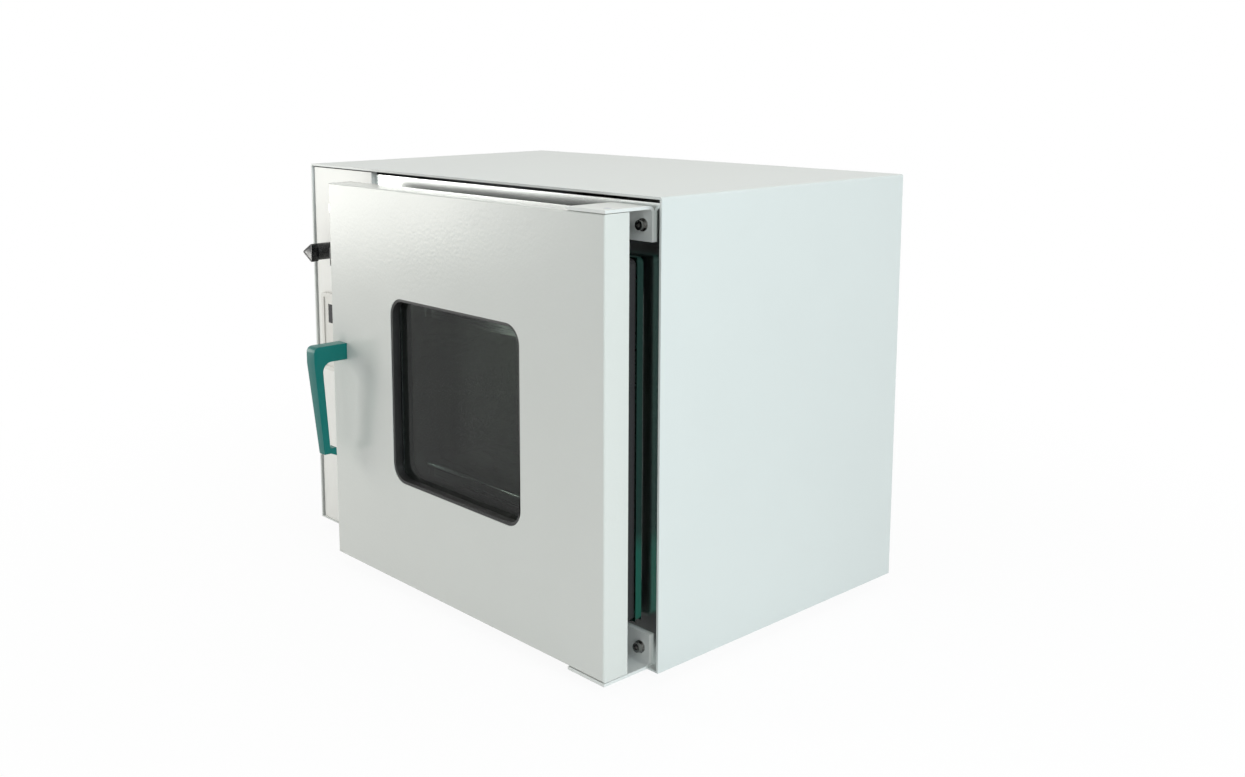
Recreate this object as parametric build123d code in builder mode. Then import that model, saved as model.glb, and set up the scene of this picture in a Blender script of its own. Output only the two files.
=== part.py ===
from build123d import *

import os

# A bench-top vacuum oven, in millimetres: +X to the right, +Y to the back, +Z up.
# The origin lies on the bench, under the middle of the oven from the handle's front
# to the end of the hose nozzle.

os.makedirs("parts", exist_ok=True)

# ---- Driving dimensions: case ---------------------------------------------
case_width = 590.0
case_depth = 370.0
case_height = 446.0
sheet = 1.2                 # folded steel sheet of the case
fold_radius = 2.5           # outside radius of the case's long folds
hem_depth = 10.0            # front edge of the case sheet, folded back on itself
rear_flange = 14.0          # inward flange that the rear panel is screwed to
tray_sheet = 1.5
tray_flange = 16.0
foot_height = 12.0
foot_radius = 14.0
foot_inset = 45.0
foot_spigot_radius = 5.0
foot_taper = 6.0
trim_gap = 0.5              # clearance of a loose fit
panel_gap = 1.5             # open joint between the case and the front panels
least_corner = 1.0          # inside corner of a narrow frame
nut_side_count = 6

# ---- Driving dimensions: front --------------------------------------------
column_width = 129.0        # control column, left of the chamber
column_recess = 2.0         # its face lies behind the front edge of the case
column_sheet = 1.5
column_edge = 1.2
column_flange = 16.0
seam = 1.0                  # between control column and chamber frame
frame_recess = 7.0
frame_top_gap = 4.0         # open joint between the case and the chamber frame's top
frame_sheet = 1.5
bulkhead_sheet = 1.2

# ---- Driving dimensions: vacuum chamber -----------------------------------
chamber_side_room = 108.3     # how much narrower the chamber is than the door
chamber_height_room = 161.0   # how much lower the chamber is than the door
chamber_depth_room = 90.0     # how much shallower the chamber is than the case
chamber_wall = 6.0
chamber_corner = 12.0
chamber_shift = 16.9        # chamber centre, right of the door centre
flange_width = 23.0
flange_thickness = 12.0
flange_proud = 1.0
gasket_width = 10.0
gasket_inset = 9.0          # groove centre line, outside the chamber's mouth
gasket_groove = 6.0
gasket_proud = 4.0
soft_gap = 0.3              # between soft or moving faces that all but touch

# ---- Driving dimensions: door ---------------------------------------------
door_right_margin = 15.5      # door edge to the case's right side
door_top_margin = 12.5        # door top to the case's top
door_thickness = 30.0
door_standoff = 24.5        # door back to case front
door_left_offset = 126.2
door_lift = 2.5             # door bottom above case bottom
door_sheet = 1.5
door_fold = 2.0
window_width = 214.5
window_height = 202.0
window_corner = 20.0
rim_depth = 10.0
seal_lip = 3.0
pane_thickness = 5.0
pane_margin = 10.0
retainer_sheet = 1.5
retainer_margin = 12.0
cover_sheet = 1.2
cover_gap = 0.2
cover_margin = 2.0          # window lining beyond the window
glass_side_overlap = 30.0     # glass beyond the chamber's mouth
glass_end_overlap = 37.5
glass_thickness = 10.0
glass_corner = 6.0
cushion_inset = 1.0
cushion_width = 14.0
clip_width = 24.0
clip_sheet = 1.5
clip_bite = 5.0
clip_foot = 14.0
clip_spacing = 240.0

# ---- Driving dimensions: hinges -------------------------------------------
bracket_width = 49.5
bracket_sheet = 3.0
bracket_leg = 33.0
bracket_bend = 6.0
hinge_gap = 0.6             # bracket to door
hinge_inset = 12.5          # pin axis in from the door's right edge
pin_radius = 4.0
pin_reach = 20.0
running_gap = 0.05
bush_wall = 2.0
block_width = 24.0
block_depth = 22.0
block_height = 22.0
backing_thickness = 8.0
backing_height = 46.0
screw_radius = 2.5
screw_head_radius = 4.5
screw_head = 5.0
screw_length = 12.0
screw_socket = 2.3
socket_depth = 2.6
washer_radius = 6.0
washer = 1.0
hinge_screw_inset = 11.5
hinge_screw_spacing = 26.0
hinge_screw_drop = 18.0

# ---- Driving dimensions: handle and latch ---------------------------------
handle_offset = 22.0        # spindle axis in from the door's left edge
handle_rise = 28.3          # spindle axis above the door's middle
handle_reach = 42.5
handle_width = 16.0
handle_foot_width = 11.0
arm_height = 18.4
grip_thickness = 10.0
foot_thickness = 8.0
grip_drop = 115.0
grip_lean = 11.0            # the grip's foot leans this far back to the door
grip_toe = 8.0
toe_drop = 3.5
toe_height = 6.0
inner_radius = 12.0
elbow_radius = 7.0
handle_edge = 1.6
spindle_radius = 5.0
spindle_grip = 26.0
spindle_bush_wall = 2.5
cam_thickness = 6.0
cam_hub_radius = 9.0
cam_arm_width = 10.0
cam_arm_length = 26.0
cam_gap = 5.5               # door back to cam
nut_radius = 8.0
nut_thickness = 6.0
keeper_sheet = 3.0
keeper_gap = 1.0
keeper_height = 12.0
keeper_foot_height = 34.0
keeper_side_gap = 2.0

# ---- Driving dimensions: controls -----------------------------------------
valve_spacing = 54.0
valve_drop = 102.5          # below the case top
knob_radius = 12.0
knob_lobe = 2.0
knob_head = 9.0
knob_reach = 32.0           # knob front to column face
knob_neck_radius = 10.0
knob_skirt_depth = 8.0
knob_skirt_wall = 1.4
knob_edge = 1.0
vacuum_knob_turn = 180.0    # direction of each knob's first lobe, from +X
vent_knob_turn = 240.0
stem_radius = 3.0
valve_body_radius = 11.0
valve_body_length = 42.0
valve_neck_radius = 6.0
valve_neck_reach = 6.0
valve_nut_radius = 8.0
valve_nut_thickness = 3.0
gauge_drop = 51.0
gauge_shift = 1.5
gauge_radius = 25.5
gauge_can_radius = 22.0
gauge_wall = 1.2
gauge_depth = 30.0
gauge_well = 9.0
gauge_bezel = 4.0
gauge_boss_radius = 6.0
gauge_boss = 10.0
lens_thickness = 1.5
dial_thickness = 0.8
needle_thickness = 0.6
needle_length = 17.0
needle_tail = 6.0
needle_hub = 2.2
needle_width = 1.6
needle_rest = -45.0          # at atmospheric pressure, from +X
controller_size = 96.0
controller_drop = 203.5
controller_bezel_depth = 4.0
controller_body_size = 90.0
controller_body_depth = 62.0
controller_wall = 2.0
bezel_rim = 5.0
bezel_corner = 4.0
face_corner = 1.5
face_recess = 1.2
display_width = 69.0
display_height = 23.0
display_rise = 23.0
display_thickness = 1.4
key_count = 4
key_width = 13.0
key_height = 8.0
key_pitch = 18.0
key_drop = 30.0
key_travel = 0.8
key_proud = 1.0
key_depth = 5.0
key_gap = 0.2
board_thickness = 1.6
board_set_back = 12.0
switch_height = 133.0
switch_width = 25.0
switch_tall = 19.0
switch_rim = 2.0
switch_rim_depth = 2.0
switch_body_depth = 22.0
rocker_gap = 0.4
rocker_tilt = 7.0
rocker_thickness = 5.0
rocker_sink = 2.5
rocker_pin_radius = 1.8

# ---- Driving dimensions: inside the chamber -------------------------------
shelf_sheet = 1.5
shelf_rim = 12.0
shelf_side_gap = 3.0
shelf_front_gap = 20.0
shelf_back_gap = 6.0
shelf_hole_radius = 5.0
shelf_hole_pitch = 32.0
shelf_hole_margin = 42.0
lower_shelf_height = 27.0
upper_shelf_height = 212.0
rail_leg = 14.0
rail_sheet = 2.0
rail_end_gap = 12.0
heater_thickness = 4.0
heater_margin = 40.0
slab_thickness = 36.0
support_margin = 45.0       # chamber wall to the support's web
support_width = 26.0
support_sheet = 3.0
probe_radius = 3.0
probe_reach = 55.0
probe_height = 250.0
probe_depth = 200.0
probe_head_radius = 7.0
probe_head = 16.0

# ---- Driving dimensions: pipes and electrics ------------------------------
tube_radius = 4.0
tube_bend = 18.0
short_tube_bend = 12.0
tube_gap = 1.0
vacuum_tube_depth = 150.0
vent_tube_depth = 90.0
tee_size = 18.0
tee_edge = 1.0
nozzle_radius = 5.0
nozzle_reach = 40.0
nozzle_bore = 3.0
nozzle_drop = 40.0          # below the valves
nozzle_flange_radius = 12.0
nozzle_flange = 3.0
nozzle_nut_radius = 9.0
nozzle_nut = 4.0
silencer_radius = 7.0
silencer_length = 18.0
inlet_width = 48.0
inlet_tall = 27.0
inlet_depth = 24.0
inlet_lip = 3.0
inlet_plate = 2.5
inlet_height = 60.0
inlet_socket_width = 24.0
inlet_socket_tall = 16.0
inlet_socket_depth = 16.0
inlet_pin_width = 2.0
inlet_pin_tall = 4.0
inlet_pin_spacing = 7.0
relay_width = 58.0
relay_tall = 45.0
relay_thick = 24.0
relay_corner = 3.0
relay_depth = 190.0
relay_height = 200.0
loom_radius = 4.0
loom_bend = 20.0
loom_straight = 9.0
loom_rise = 6.0
vent_slot_length = 60.0
vent_slot_width = 4.0
vent_slot_pitch = 11.0
vent_slot_count = 7
rear_slot_length = 180.0
low_vents_height = 150.0
high_vents_drop = 74.0
rear_screw_radius = 2.0
rear_screw_head_radius = 3.8
rear_screw_head = 2.2
rear_screw_length = 8.0

# ---- Places that follow from the sizes ------------------------------------
front_reach = door_standoff + door_thickness + handle_reach
front = (front_reach - case_depth - nozzle_reach) / 2
back = front + case_depth
left = -case_width / 2
right = case_width / 2
base = foot_height
top = base + case_height

door_width = case_width - door_left_offset - door_right_margin
door_height = case_height - door_lift - door_top_margin
chamber_inside_width = door_width - chamber_side_room
chamber_inside_height = door_height - chamber_height_room
chamber_inside_depth = case_depth - chamber_depth_room
glass_width = chamber_inside_width + 2 * glass_side_overlap
glass_height = chamber_inside_height + 2 * glass_end_overlap

column_face = front + column_recess
column_left = left + 2 * sheet + panel_gap
column_right = left + column_width
column_middle = left + column_width / 2 + sheet
panel_bottom = base + tray_sheet
panel_top = top - 2 * sheet - panel_gap

frame_face = front + frame_recess
frame_back = frame_face + frame_sheet
frame_left = column_right + seam
frame_right = right - 2 * sheet - panel_gap
frame_top = top - 2 * sheet - frame_top_gap

door_left = left + door_left_offset
door_right = door_left + door_width
door_middle = (door_left + door_right) / 2
door_bottom = base + door_lift
door_top = door_bottom + door_height
door_center = (door_bottom + door_top) / 2
door_back = front - door_standoff
door_front = door_back - door_thickness

chamber_middle = door_middle + chamber_shift
mouth_face = frame_face - flange_proud
mouth_back = mouth_face + flange_thickness
chamber_back = mouth_back + chamber_inside_depth
chamber_left = chamber_middle - chamber_inside_width / 2 - chamber_wall
chamber_right = chamber_middle + chamber_inside_width / 2 + chamber_wall
chamber_floor = door_center - chamber_inside_height / 2
chamber_bottom = chamber_floor - chamber_wall
chamber_top = door_center + chamber_inside_height / 2 + chamber_wall
gasket_face = mouth_face - gasket_proud
glass_back = gasket_face - soft_gap
glass_front = glass_back - glass_thickness

hinge_x = door_right - hinge_inset
hinge_y = (door_front + door_back) / 2
bracket_left = door_right - bracket_width
handle_x = door_left + handle_offset
handle_z = door_center + handle_rise
cam_back = door_back + cam_gap + cam_thickness
valve_z = top - valve_drop
vacuum_valve_x = column_middle - valve_spacing / 2
vent_valve_x = column_middle + valve_spacing / 2
gauge_x = column_middle + gauge_shift
gauge_z = top - gauge_drop
controller_z = top - controller_drop
switch_z = base + switch_height
column_back = column_face + column_sheet


def facing(y):
    """A drawing plane seen from the front: X to the right, Y up, its normal towards -Y."""
    return Plane(origin=(0, y, 0), x_dir=(1, 0, 0), z_dir=(0, -1, 0))


def side_view(x):
    """A drawing plane seen from the right: X to the back, Y up, its normal towards +X."""
    return Plane(origin=(x, 0, 0), x_dir=(0, 1, 0), z_dir=(1, 0, 0))


def slab(x_span, y_span, z_span, mode=Mode.ADD):
    """A box between two corners, in the sub-part that is being made."""
    center = tuple((low + high) / 2 for low, high in (x_span, y_span, z_span))
    with Locations(center):
        Box(x_span[1] - x_span[0], y_span[1] - y_span[0], z_span[1] - z_span[0], mode=mode)


def rod(center, y_span, radius, mode=Mode.ADD):
    """A round bar along Y whose axis passes (x, z)."""
    with BuildSketch(facing(y_span[0])) as profile:
        with Locations(center):
            Circle(radius)
    extrude(profile.sketch, amount=y_span[0] - y_span[1], mode=mode)


def cross_rod(center, x_span, radius, mode=Mode.ADD):
    """A round bar along X whose axis passes (y, z)."""
    with BuildSketch(side_view(x_span[0])) as profile:
        with Locations(center):
            Circle(radius)
    extrude(profile.sketch, amount=x_span[1] - x_span[0], mode=mode)


def post(center, z_span, radius, mode=Mode.ADD):
    """A round bar along Z whose axis passes (x, y)."""
    with BuildSketch(Plane.XY.offset(z_span[0])) as profile:
        with Locations(center):
            Circle(radius)
    extrude(profile.sketch, amount=z_span[1] - z_span[0], mode=mode)


def front_plate(center, size, corner, y_span, mode=Mode.ADD):
    """A plate that faces the front, with rounded corners."""
    with BuildSketch(facing(y_span[0])) as profile:
        with Locations(center):
            RectangleRounded(size[0], size[1], corner)
    extrude(profile.sketch, amount=y_span[0] - y_span[1], mode=mode)


def front_ring(center, size, corner, width, y_span):
    """A rounded frame that faces the front: size is its outside, width its sides."""
    with BuildSketch(facing(y_span[0])) as profile:
        with Locations(center):
            RectangleRounded(size[0], size[1], corner)
            RectangleRounded(size[0] - 2 * width, size[1] - 2 * width,
                             max(corner - width, least_corner), mode=Mode.SUBTRACT)
    extrude(profile.sketch, amount=y_span[0] - y_span[1])


def inverted_u(y_span, low, inset, thickness):
    """A band along the left side, the top and the right side of the case."""
    outer_width = case_width - 2 * inset
    outer_height = top - inset - low
    with BuildSketch(facing(y_span[0])) as profile:
        with Locations((0, low + outer_height / 2)):
            Rectangle(outer_width, outer_height)
        with Locations((0, low + (outer_height - thickness) / 2)):
            Rectangle(outer_width - 2 * thickness, outer_height - thickness, mode=Mode.SUBTRACT)
    extrude(profile.sketch, amount=y_span[0] - y_span[1])


def keep(sub_part, name):
    """Label a finished sub-part and write it."""
    sub_part.part.label = name
    export_step(sub_part.part, f"parts/{name}.step")


# ---- Case -----------------------------------------------------------------
rear_screw_x = case_width / 2 - sheet - rear_flange / 2
rear_screw_rows = (base + tray_sheet + rear_flange / 2, top - sheet - rear_flange / 2)
rear_screw_places = [(x, z) for z in rear_screw_rows for x in (-rear_screw_x, 0, rear_screw_x)]
foot_places = [(x, y) for x in (left + foot_inset, right - foot_inset)
               for y in (front + foot_inset, back - foot_inset)]
inlet_x = column_middle
inlet_z = base + inlet_height
nozzle_z = valve_z - nozzle_drop


def rear_screw_holes(y_span):
    for place in rear_screw_places:
        rod(place, y_span, rear_screw_radius + running_gap, mode=Mode.SUBTRACT)


with BuildPart() as case_shell:
    inverted_u((front, back), base, 0, sheet)
    inverted_u((front, front + hem_depth), panel_bottom, sheet, sheet)
    inverted_u((back - 2 * sheet, back - sheet), panel_bottom, sheet, rear_flange)
    fillet(case_shell.edges().filter_by(Axis.Y).group_by(Axis.Z)[-1], fold_radius)
    rear_screw_holes((back - 3 * sheet, back))
keep(case_shell, "case_shell")

with BuildPart() as base_tray:
    tray_x = (left + sheet, right - sheet)
    slab(tray_x, (front, back - sheet), (base, panel_bottom))
    for side in (tray_x[0], tray_x[1] - tray_sheet):
        slab((side, side + tray_sheet), (front + hem_depth, back - 2 * sheet),
             (panel_bottom, panel_bottom + tray_flange))
    slab((left + sheet + rear_flange, right - sheet - rear_flange), (back - 2 * sheet, back - sheet),
         (panel_bottom, panel_bottom + rear_flange))
    slab((bracket_left - trim_gap, door_right + trim_gap), (front, frame_face), (base, panel_bottom),
         mode=Mode.SUBTRACT)
    with BuildSketch(Plane.XY.offset(base)):
        with Locations((column_middle, (front + back) / 2)):
            with GridLocations(0, vent_slot_pitch, 1, vent_slot_count):
                SlotOverall(vent_slot_length, vent_slot_width)
    extrude(amount=tray_sheet, mode=Mode.SUBTRACT)
    for place in foot_places:
        post(place, (base, panel_bottom), foot_spigot_radius, mode=Mode.SUBTRACT)
    rear_screw_holes((back - 3 * sheet, back))
keep(base_tray, "base_tray")

with BuildPart() as rubber_feet:
    for place in foot_places:
        with BuildSketch(Plane.XY.offset(base)):
            with Locations(place):
                Circle(foot_radius)
        extrude(amount=-foot_height, taper=foot_taper)
        post(place, (base, panel_bottom + tray_sheet), foot_spigot_radius)
keep(rubber_feet, "rubber_feet")

with BuildPart() as rear_panel:
    slab((left + sheet, right - sheet), (back - sheet, back), (panel_bottom, top - sheet))
    rear_screw_holes((back - 2 * sheet, back))
    rod((vacuum_valve_x, nozzle_z), (back - sheet, back), nozzle_radius + running_gap,
        mode=Mode.SUBTRACT)
    slab((inlet_x - inlet_width / 2, inlet_x + inlet_width / 2), (back - sheet, back),
         (inlet_z - inlet_tall / 2, inlet_z + inlet_tall / 2), mode=Mode.SUBTRACT)
    for bank_z in (base + low_vents_height, top - high_vents_drop):
        with BuildSketch(facing(back - sheet)):
            with Locations((chamber_middle, bank_z)):
                with GridLocations(0, vent_slot_pitch, 1, vent_slot_count):
                    SlotOverall(rear_slot_length, vent_slot_width)
        extrude(amount=-sheet, mode=Mode.SUBTRACT)
keep(rear_panel, "rear_panel")

with BuildPart() as rear_panel_screws:
    for place in rear_screw_places:
        rod(place, (back, back + rear_screw_head), rear_screw_head_radius)
        rod(place, (back - rear_screw_length, back), rear_screw_radius)
keep(rear_panel_screws, "rear_panel_screws")

# ---- Control column: face, bulkhead ---------------------------------------
vacuum_tube_y = front + vacuum_tube_depth
vent_tube_y = front + vent_tube_depth
probe_y = front + probe_depth
probe_z = base + probe_height
tube_hole = tube_radius + tube_gap


def wall_holes(x_span, radius):
    """Holes for the two pipes, and for the temperature probe, through an upright wall."""
    for y in (vacuum_tube_y, vent_tube_y):
        cross_rod((y, valve_z), x_span, radius, mode=Mode.SUBTRACT)
    cross_rod((probe_y, probe_z), x_span, probe_radius + radius - tube_radius, mode=Mode.SUBTRACT)


with BuildPart() as column_panel:
    slab((column_left, column_right), (column_face, column_back), (panel_bottom, panel_top))
    for side in (column_left, column_right - column_sheet):
        slab((side, side + column_sheet), (column_back, column_face + column_flange),
             (panel_bottom, panel_top))
    fillet(column_panel.edges().filter_by(Axis.Z).group_by(Axis.Y)[0], column_edge)
    for x in (vacuum_valve_x, vent_valve_x):
        rod((x, valve_z), (column_face, column_back), valve_neck_radius + running_gap,
            mode=Mode.SUBTRACT)
    rod((gauge_x, gauge_z), (column_face, column_back), gauge_can_radius + running_gap,
        mode=Mode.SUBTRACT)
    controller_hole = controller_body_size / 2
    slab((column_middle - controller_hole, column_middle + controller_hole), (column_face, column_back),
         (controller_z - controller_hole, controller_z + controller_hole), mode=Mode.SUBTRACT)
    slab((column_middle - switch_width / 2, column_middle + switch_width / 2),
         (column_face, column_back),
         (switch_z - switch_tall / 2, switch_z + switch_tall / 2), mode=Mode.SUBTRACT)
keep(column_panel, "column_panel")

with BuildPart() as column_bulkhead:
    bulkhead_x = (column_right, column_right + bulkhead_sheet)
    slab(bulkhead_x, (frame_back, back - 2 * sheet), (panel_bottom, top - 2 * sheet - rear_flange))
    slab(bulkhead_x, (frame_back, back - 3 * sheet - rear_flange),
         (top - 2 * sheet - rear_flange, top - 2 * sheet))
    wall_holes(bulkhead_x, tube_hole)
keep(column_bulkhead, "column_bulkhead")

# ---- Chamber front ---------------------------------------------------------
flange_size = (chamber_inside_width + 2 * flange_width, chamber_inside_height + 2 * flange_width)
flange_corner = chamber_corner + flange_width / 2
mouth = (chamber_middle, door_center)
gasket_size = (chamber_inside_width + 2 * gasket_inset + gasket_width,
               chamber_inside_height + 2 * gasket_inset + gasket_width)
gasket_corner = chamber_corner + gasket_inset
hinge_screw_xs = (door_right - hinge_screw_inset, door_right - hinge_screw_inset - hinge_screw_spacing)
leg_bottom = door_bottom - hinge_gap - bracket_sheet
leg_top = door_top + hinge_gap + bracket_sheet
hinge_screw_places = [(x, z) for x in hinge_screw_xs
                      for z in (leg_bottom + hinge_screw_drop, leg_top - hinge_screw_drop)]
keeper_right = handle_x + cam_arm_width / 2 + keeper_side_gap + keeper_sheet
keeper_left = handle_x - cam_arm_width
keeper_top = handle_z - cam_arm_length + keeper_height / 2
keeper_foot_bottom = keeper_top - keeper_foot_height
keeper_screw_x = (keeper_left + keeper_right) / 2
keeper_screw_places = [(keeper_screw_x, keeper_foot_bottom + washer_radius + trim_gap)]


def frame_screw_holes(y_span):
    for place in hinge_screw_places + keeper_screw_places:
        rod(place, y_span, screw_radius + running_gap, mode=Mode.SUBTRACT)


with BuildPart() as chamber_frame:
    slab((frame_left, frame_right), (frame_face, frame_back), (panel_bottom, frame_top))
    front_plate(mouth, (flange_size[0] + 2 * trim_gap, flange_size[1] + 2 * trim_gap), flange_corner,
                (frame_face, frame_back), mode=Mode.SUBTRACT)
    for low in (panel_bottom, frame_top - backing_height):
        slab((bracket_left, frame_right), (frame_back, frame_back + backing_thickness),
             (low, low + backing_height))
    frame_screw_holes((frame_face, frame_back + backing_thickness))
keep(chamber_frame, "chamber_frame")

with BuildPart() as chamber_flange:
    front_ring(mouth, flange_size, flange_corner, flange_width, (mouth_face, mouth_back))
    with BuildSketch(facing(mouth_face)):
        with Locations(mouth):
            RectangleRounded(gasket_size[0], gasket_size[1], gasket_corner)
            RectangleRounded(gasket_size[0] - 2 * gasket_width, gasket_size[1] - 2 * gasket_width,
                             gasket_corner - gasket_width, mode=Mode.SUBTRACT)
    extrude(amount=-gasket_groove, mode=Mode.SUBTRACT)
keep(chamber_flange, "chamber_flange")

with BuildPart() as door_gasket:
    front_ring(mouth, gasket_size, gasket_corner, gasket_width, (gasket_face, mouth_face + gasket_groove))
keep(door_gasket, "door_gasket")

with BuildPart() as vacuum_chamber:
    chamber_outside = (chamber_inside_width + 2 * chamber_wall, chamber_inside_height + 2 * chamber_wall)
    front_plate(mouth, chamber_outside, chamber_corner + chamber_wall,
                (mouth_back, chamber_back + chamber_wall))
    front_plate(mouth, (chamber_inside_width, chamber_inside_height), chamber_corner,
                (mouth_back, chamber_back), mode=Mode.SUBTRACT)
    wall_holes((chamber_left, chamber_left + chamber_corner), tube_radius)
keep(vacuum_chamber, "vacuum_chamber")

# ---- Heaters, insulation and supports -------------------------------------
heater_y = (mouth_back + heater_margin, chamber_back - heater_margin)
heater_x = (chamber_middle - chamber_inside_width / 2 + heater_margin,
            chamber_middle + chamber_inside_width / 2 - heater_margin)
heater_z = (chamber_floor + chamber_corner, probe_z - heater_margin)
support_x = [chamber_middle + side * (chamber_inside_width / 2 - support_margin) for side in (-1, 1)]
under_heater_x = (support_x[0] + support_width + soft_gap, support_x[1] - support_width - soft_gap)

with BuildPart() as heater_mats:
    slab((chamber_left - heater_thickness, chamber_left), heater_y, heater_z)
    slab((chamber_right, chamber_right + heater_thickness), heater_y, heater_z)
    slab(heater_x, heater_y, (chamber_top, chamber_top + heater_thickness))
    slab(under_heater_x, heater_y, (chamber_bottom - heater_thickness, chamber_bottom))
keep(heater_mats, "heater_mats")

heater_skin = heater_thickness + soft_gap
slab_y = (mouth_back + soft_gap, chamber_back + chamber_wall)
slab_x = (chamber_left, chamber_right)
slab_z = (chamber_bottom, chamber_top)

with BuildPart() as insulation_slabs:
    slab((chamber_left - heater_skin - slab_thickness, chamber_left - heater_skin), slab_y, slab_z)
    wall_holes((chamber_left - heater_skin - slab_thickness, chamber_left - heater_skin), tube_hole)
    slab((chamber_right + heater_skin, chamber_right + heater_skin + slab_thickness), slab_y, slab_z)
    slab(slab_x, slab_y, (chamber_top + heater_skin, chamber_top + heater_skin + slab_thickness))
    slab(under_heater_x, slab_y, (chamber_bottom - heater_skin - slab_thickness,
                                  chamber_bottom - heater_skin))
    slab(slab_x, (slab_y[1] + soft_gap, slab_y[1] + soft_gap + slab_thickness), slab_z)
keep(insulation_slabs, "insulation_slabs")

with BuildPart() as chamber_supports:
    for x in support_x:
        outward = 1 if x > chamber_middle else -1
        web = sorted((x, x + outward * support_sheet))
        leg = sorted((x, x + outward * support_width))
        slab(web, (mouth_back, chamber_back), (panel_bottom, chamber_bottom))
        slab(leg, (mouth_back, chamber_back), (panel_bottom, panel_bottom + support_sheet))
        slab(leg, (mouth_back, chamber_back), (chamber_bottom - support_sheet, chamber_bottom))
keep(chamber_supports, "chamber_supports")

# ---- Shelves ----------------------------------------------------------------
rail_y = (mouth_back + rail_end_gap, chamber_back - rail_end_gap)
inside_left = chamber_left + chamber_wall
inside_right = chamber_right - chamber_wall
shelf_x = (inside_left + shelf_side_gap, inside_right - shelf_side_gap)
shelf_y = (mouth_face + shelf_front_gap, chamber_back - shelf_back_gap)
shelf_column_count = int((chamber_inside_width - shelf_hole_margin) // shelf_hole_pitch)
shelf_row_count = int((chamber_inside_depth - shelf_hole_margin) // shelf_hole_pitch)


def perforated_shelf(underside):
    """A steel tray that stands on the two rails of its level."""
    slab(shelf_x, shelf_y, (underside, underside + shelf_sheet))
    for edge in (shelf_y[0], shelf_y[1] - shelf_sheet):
        slab((shelf_x[0] + rail_leg, shelf_x[1] - rail_leg), (edge, edge + shelf_sheet),
             (underside - shelf_rim, underside))
    with BuildSketch(Plane.XY.offset(underside)) as profile:
        with Locations(((shelf_x[0] + shelf_x[1]) / 2, (shelf_y[0] + shelf_y[1]) / 2)):
            with GridLocations(shelf_hole_pitch, shelf_hole_pitch, shelf_column_count, shelf_row_count):
                Circle(shelf_hole_radius)
    extrude(profile.sketch, amount=shelf_sheet, mode=Mode.SUBTRACT)


lower_shelf_z = chamber_floor + lower_shelf_height
upper_shelf_z = chamber_floor + upper_shelf_height

with BuildPart() as lower_shelf:
    perforated_shelf(lower_shelf_z)
keep(lower_shelf, "lower_shelf")

with BuildPart() as upper_shelf:
    perforated_shelf(upper_shelf_z)
keep(upper_shelf, "upper_shelf")

with BuildPart() as shelf_rails:
    for rail_z in (lower_shelf_z - running_gap, upper_shelf_z - running_gap):
        for wall, inward in ((inside_left, 1), (inside_right, -1)):
            ledge = sorted((wall, wall + inward * (rail_leg - soft_gap)))
            upright = sorted((wall, wall + inward * rail_sheet))
            slab(ledge, rail_y, (rail_z - rail_sheet, rail_z))
            slab(upright, rail_y, (rail_z - rail_leg, rail_z - rail_sheet))
keep(shelf_rails, "shelf_rails")

with BuildPart() as temperature_probe:
    probe_tail = column_right - probe_head
    cross_rod((probe_y, probe_z), (probe_tail, inside_left + probe_reach), probe_radius)
    cross_rod((probe_y, probe_z), (probe_tail, column_right), probe_head_radius)
keep(temperature_probe, "temperature_probe")

# ---- Valves, pipes and gauge ----------------------------------------------
valve_back = column_back + valve_body_length
knob_front = column_face - knob_reach
neck_front = column_face - valve_neck_reach
knob_back = column_face - trim_gap


def valve_body(x):
    """A needle valve behind the column face, with its threaded neck through it."""
    rod((x, valve_z), (column_back, valve_back), valve_body_radius)
    rod((x, valve_z), (neck_front, column_back), valve_neck_radius)
    rod((x, valve_z), (neck_front, valve_back - valve_body_length / 2), stem_radius + running_gap,
        mode=Mode.SUBTRACT)


def valve_nut(x):
    """The hexagonal nut that clamps a valve to the column face."""
    with BuildSketch(facing(column_face)) as profile:
        with Locations((x, valve_z)):
            RegularPolygon(valve_nut_radius, nut_side_count)
            Circle(valve_neck_radius, mode=Mode.SUBTRACT)
    extrude(profile.sketch, amount=valve_nut_thickness)


def valve_stem(x):
    rod((x, valve_z), (knob_front + knob_head / 2, valve_back - valve_body_length / 2 - trim_gap),
        stem_radius)


def valve_knob(x, turn):
    """A three-lobed knob on a round neck, with a hollow skirt over the panel nut."""
    with BuildSketch(facing(knob_front + knob_head)) as profile:
        with Locations((x, valve_z)):
            with PolarLocations(knob_radius - knob_lobe, 3, start_angle=turn):
                Circle(knob_lobe)
        make_hull()
    extrude(profile.sketch, amount=knob_head)
    rod((x, valve_z), (knob_front + knob_head, knob_back), knob_neck_radius)
    rod((x, valve_z), (knob_back - knob_skirt_depth, knob_back), knob_neck_radius - knob_skirt_wall,
        mode=Mode.SUBTRACT)
    rod((x, valve_z), (knob_front + knob_head / 2, knob_back), stem_radius, mode=Mode.SUBTRACT)


with BuildPart() as valve_bodies:
    for x in (vacuum_valve_x, vent_valve_x):
        valve_body(x)
        valve_nut(x)
keep(valve_bodies, "valve_bodies")

with BuildPart() as vacuum_valve_stem:
    valve_stem(vacuum_valve_x)
keep(vacuum_valve_stem, "vacuum_valve_stem")

with BuildPart() as vent_valve_stem:
    valve_stem(vent_valve_x)
keep(vent_valve_stem, "vent_valve_stem")

with BuildPart() as vacuum_valve_knob:
    valve_knob(vacuum_valve_x, vacuum_knob_turn)
    fillet(vacuum_valve_knob.faces().sort_by(Axis.Y)[0].outer_wire().edges(), knob_edge)
keep(vacuum_valve_knob, "vacuum_valve_knob")

with BuildPart() as vent_valve_knob:
    valve_knob(vent_valve_x, vent_knob_turn)
    fillet(vent_valve_knob.faces().sort_by(Axis.Y)[0].outer_wire().edges(), knob_edge)
keep(vent_valve_knob, "vent_valve_knob")

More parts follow.
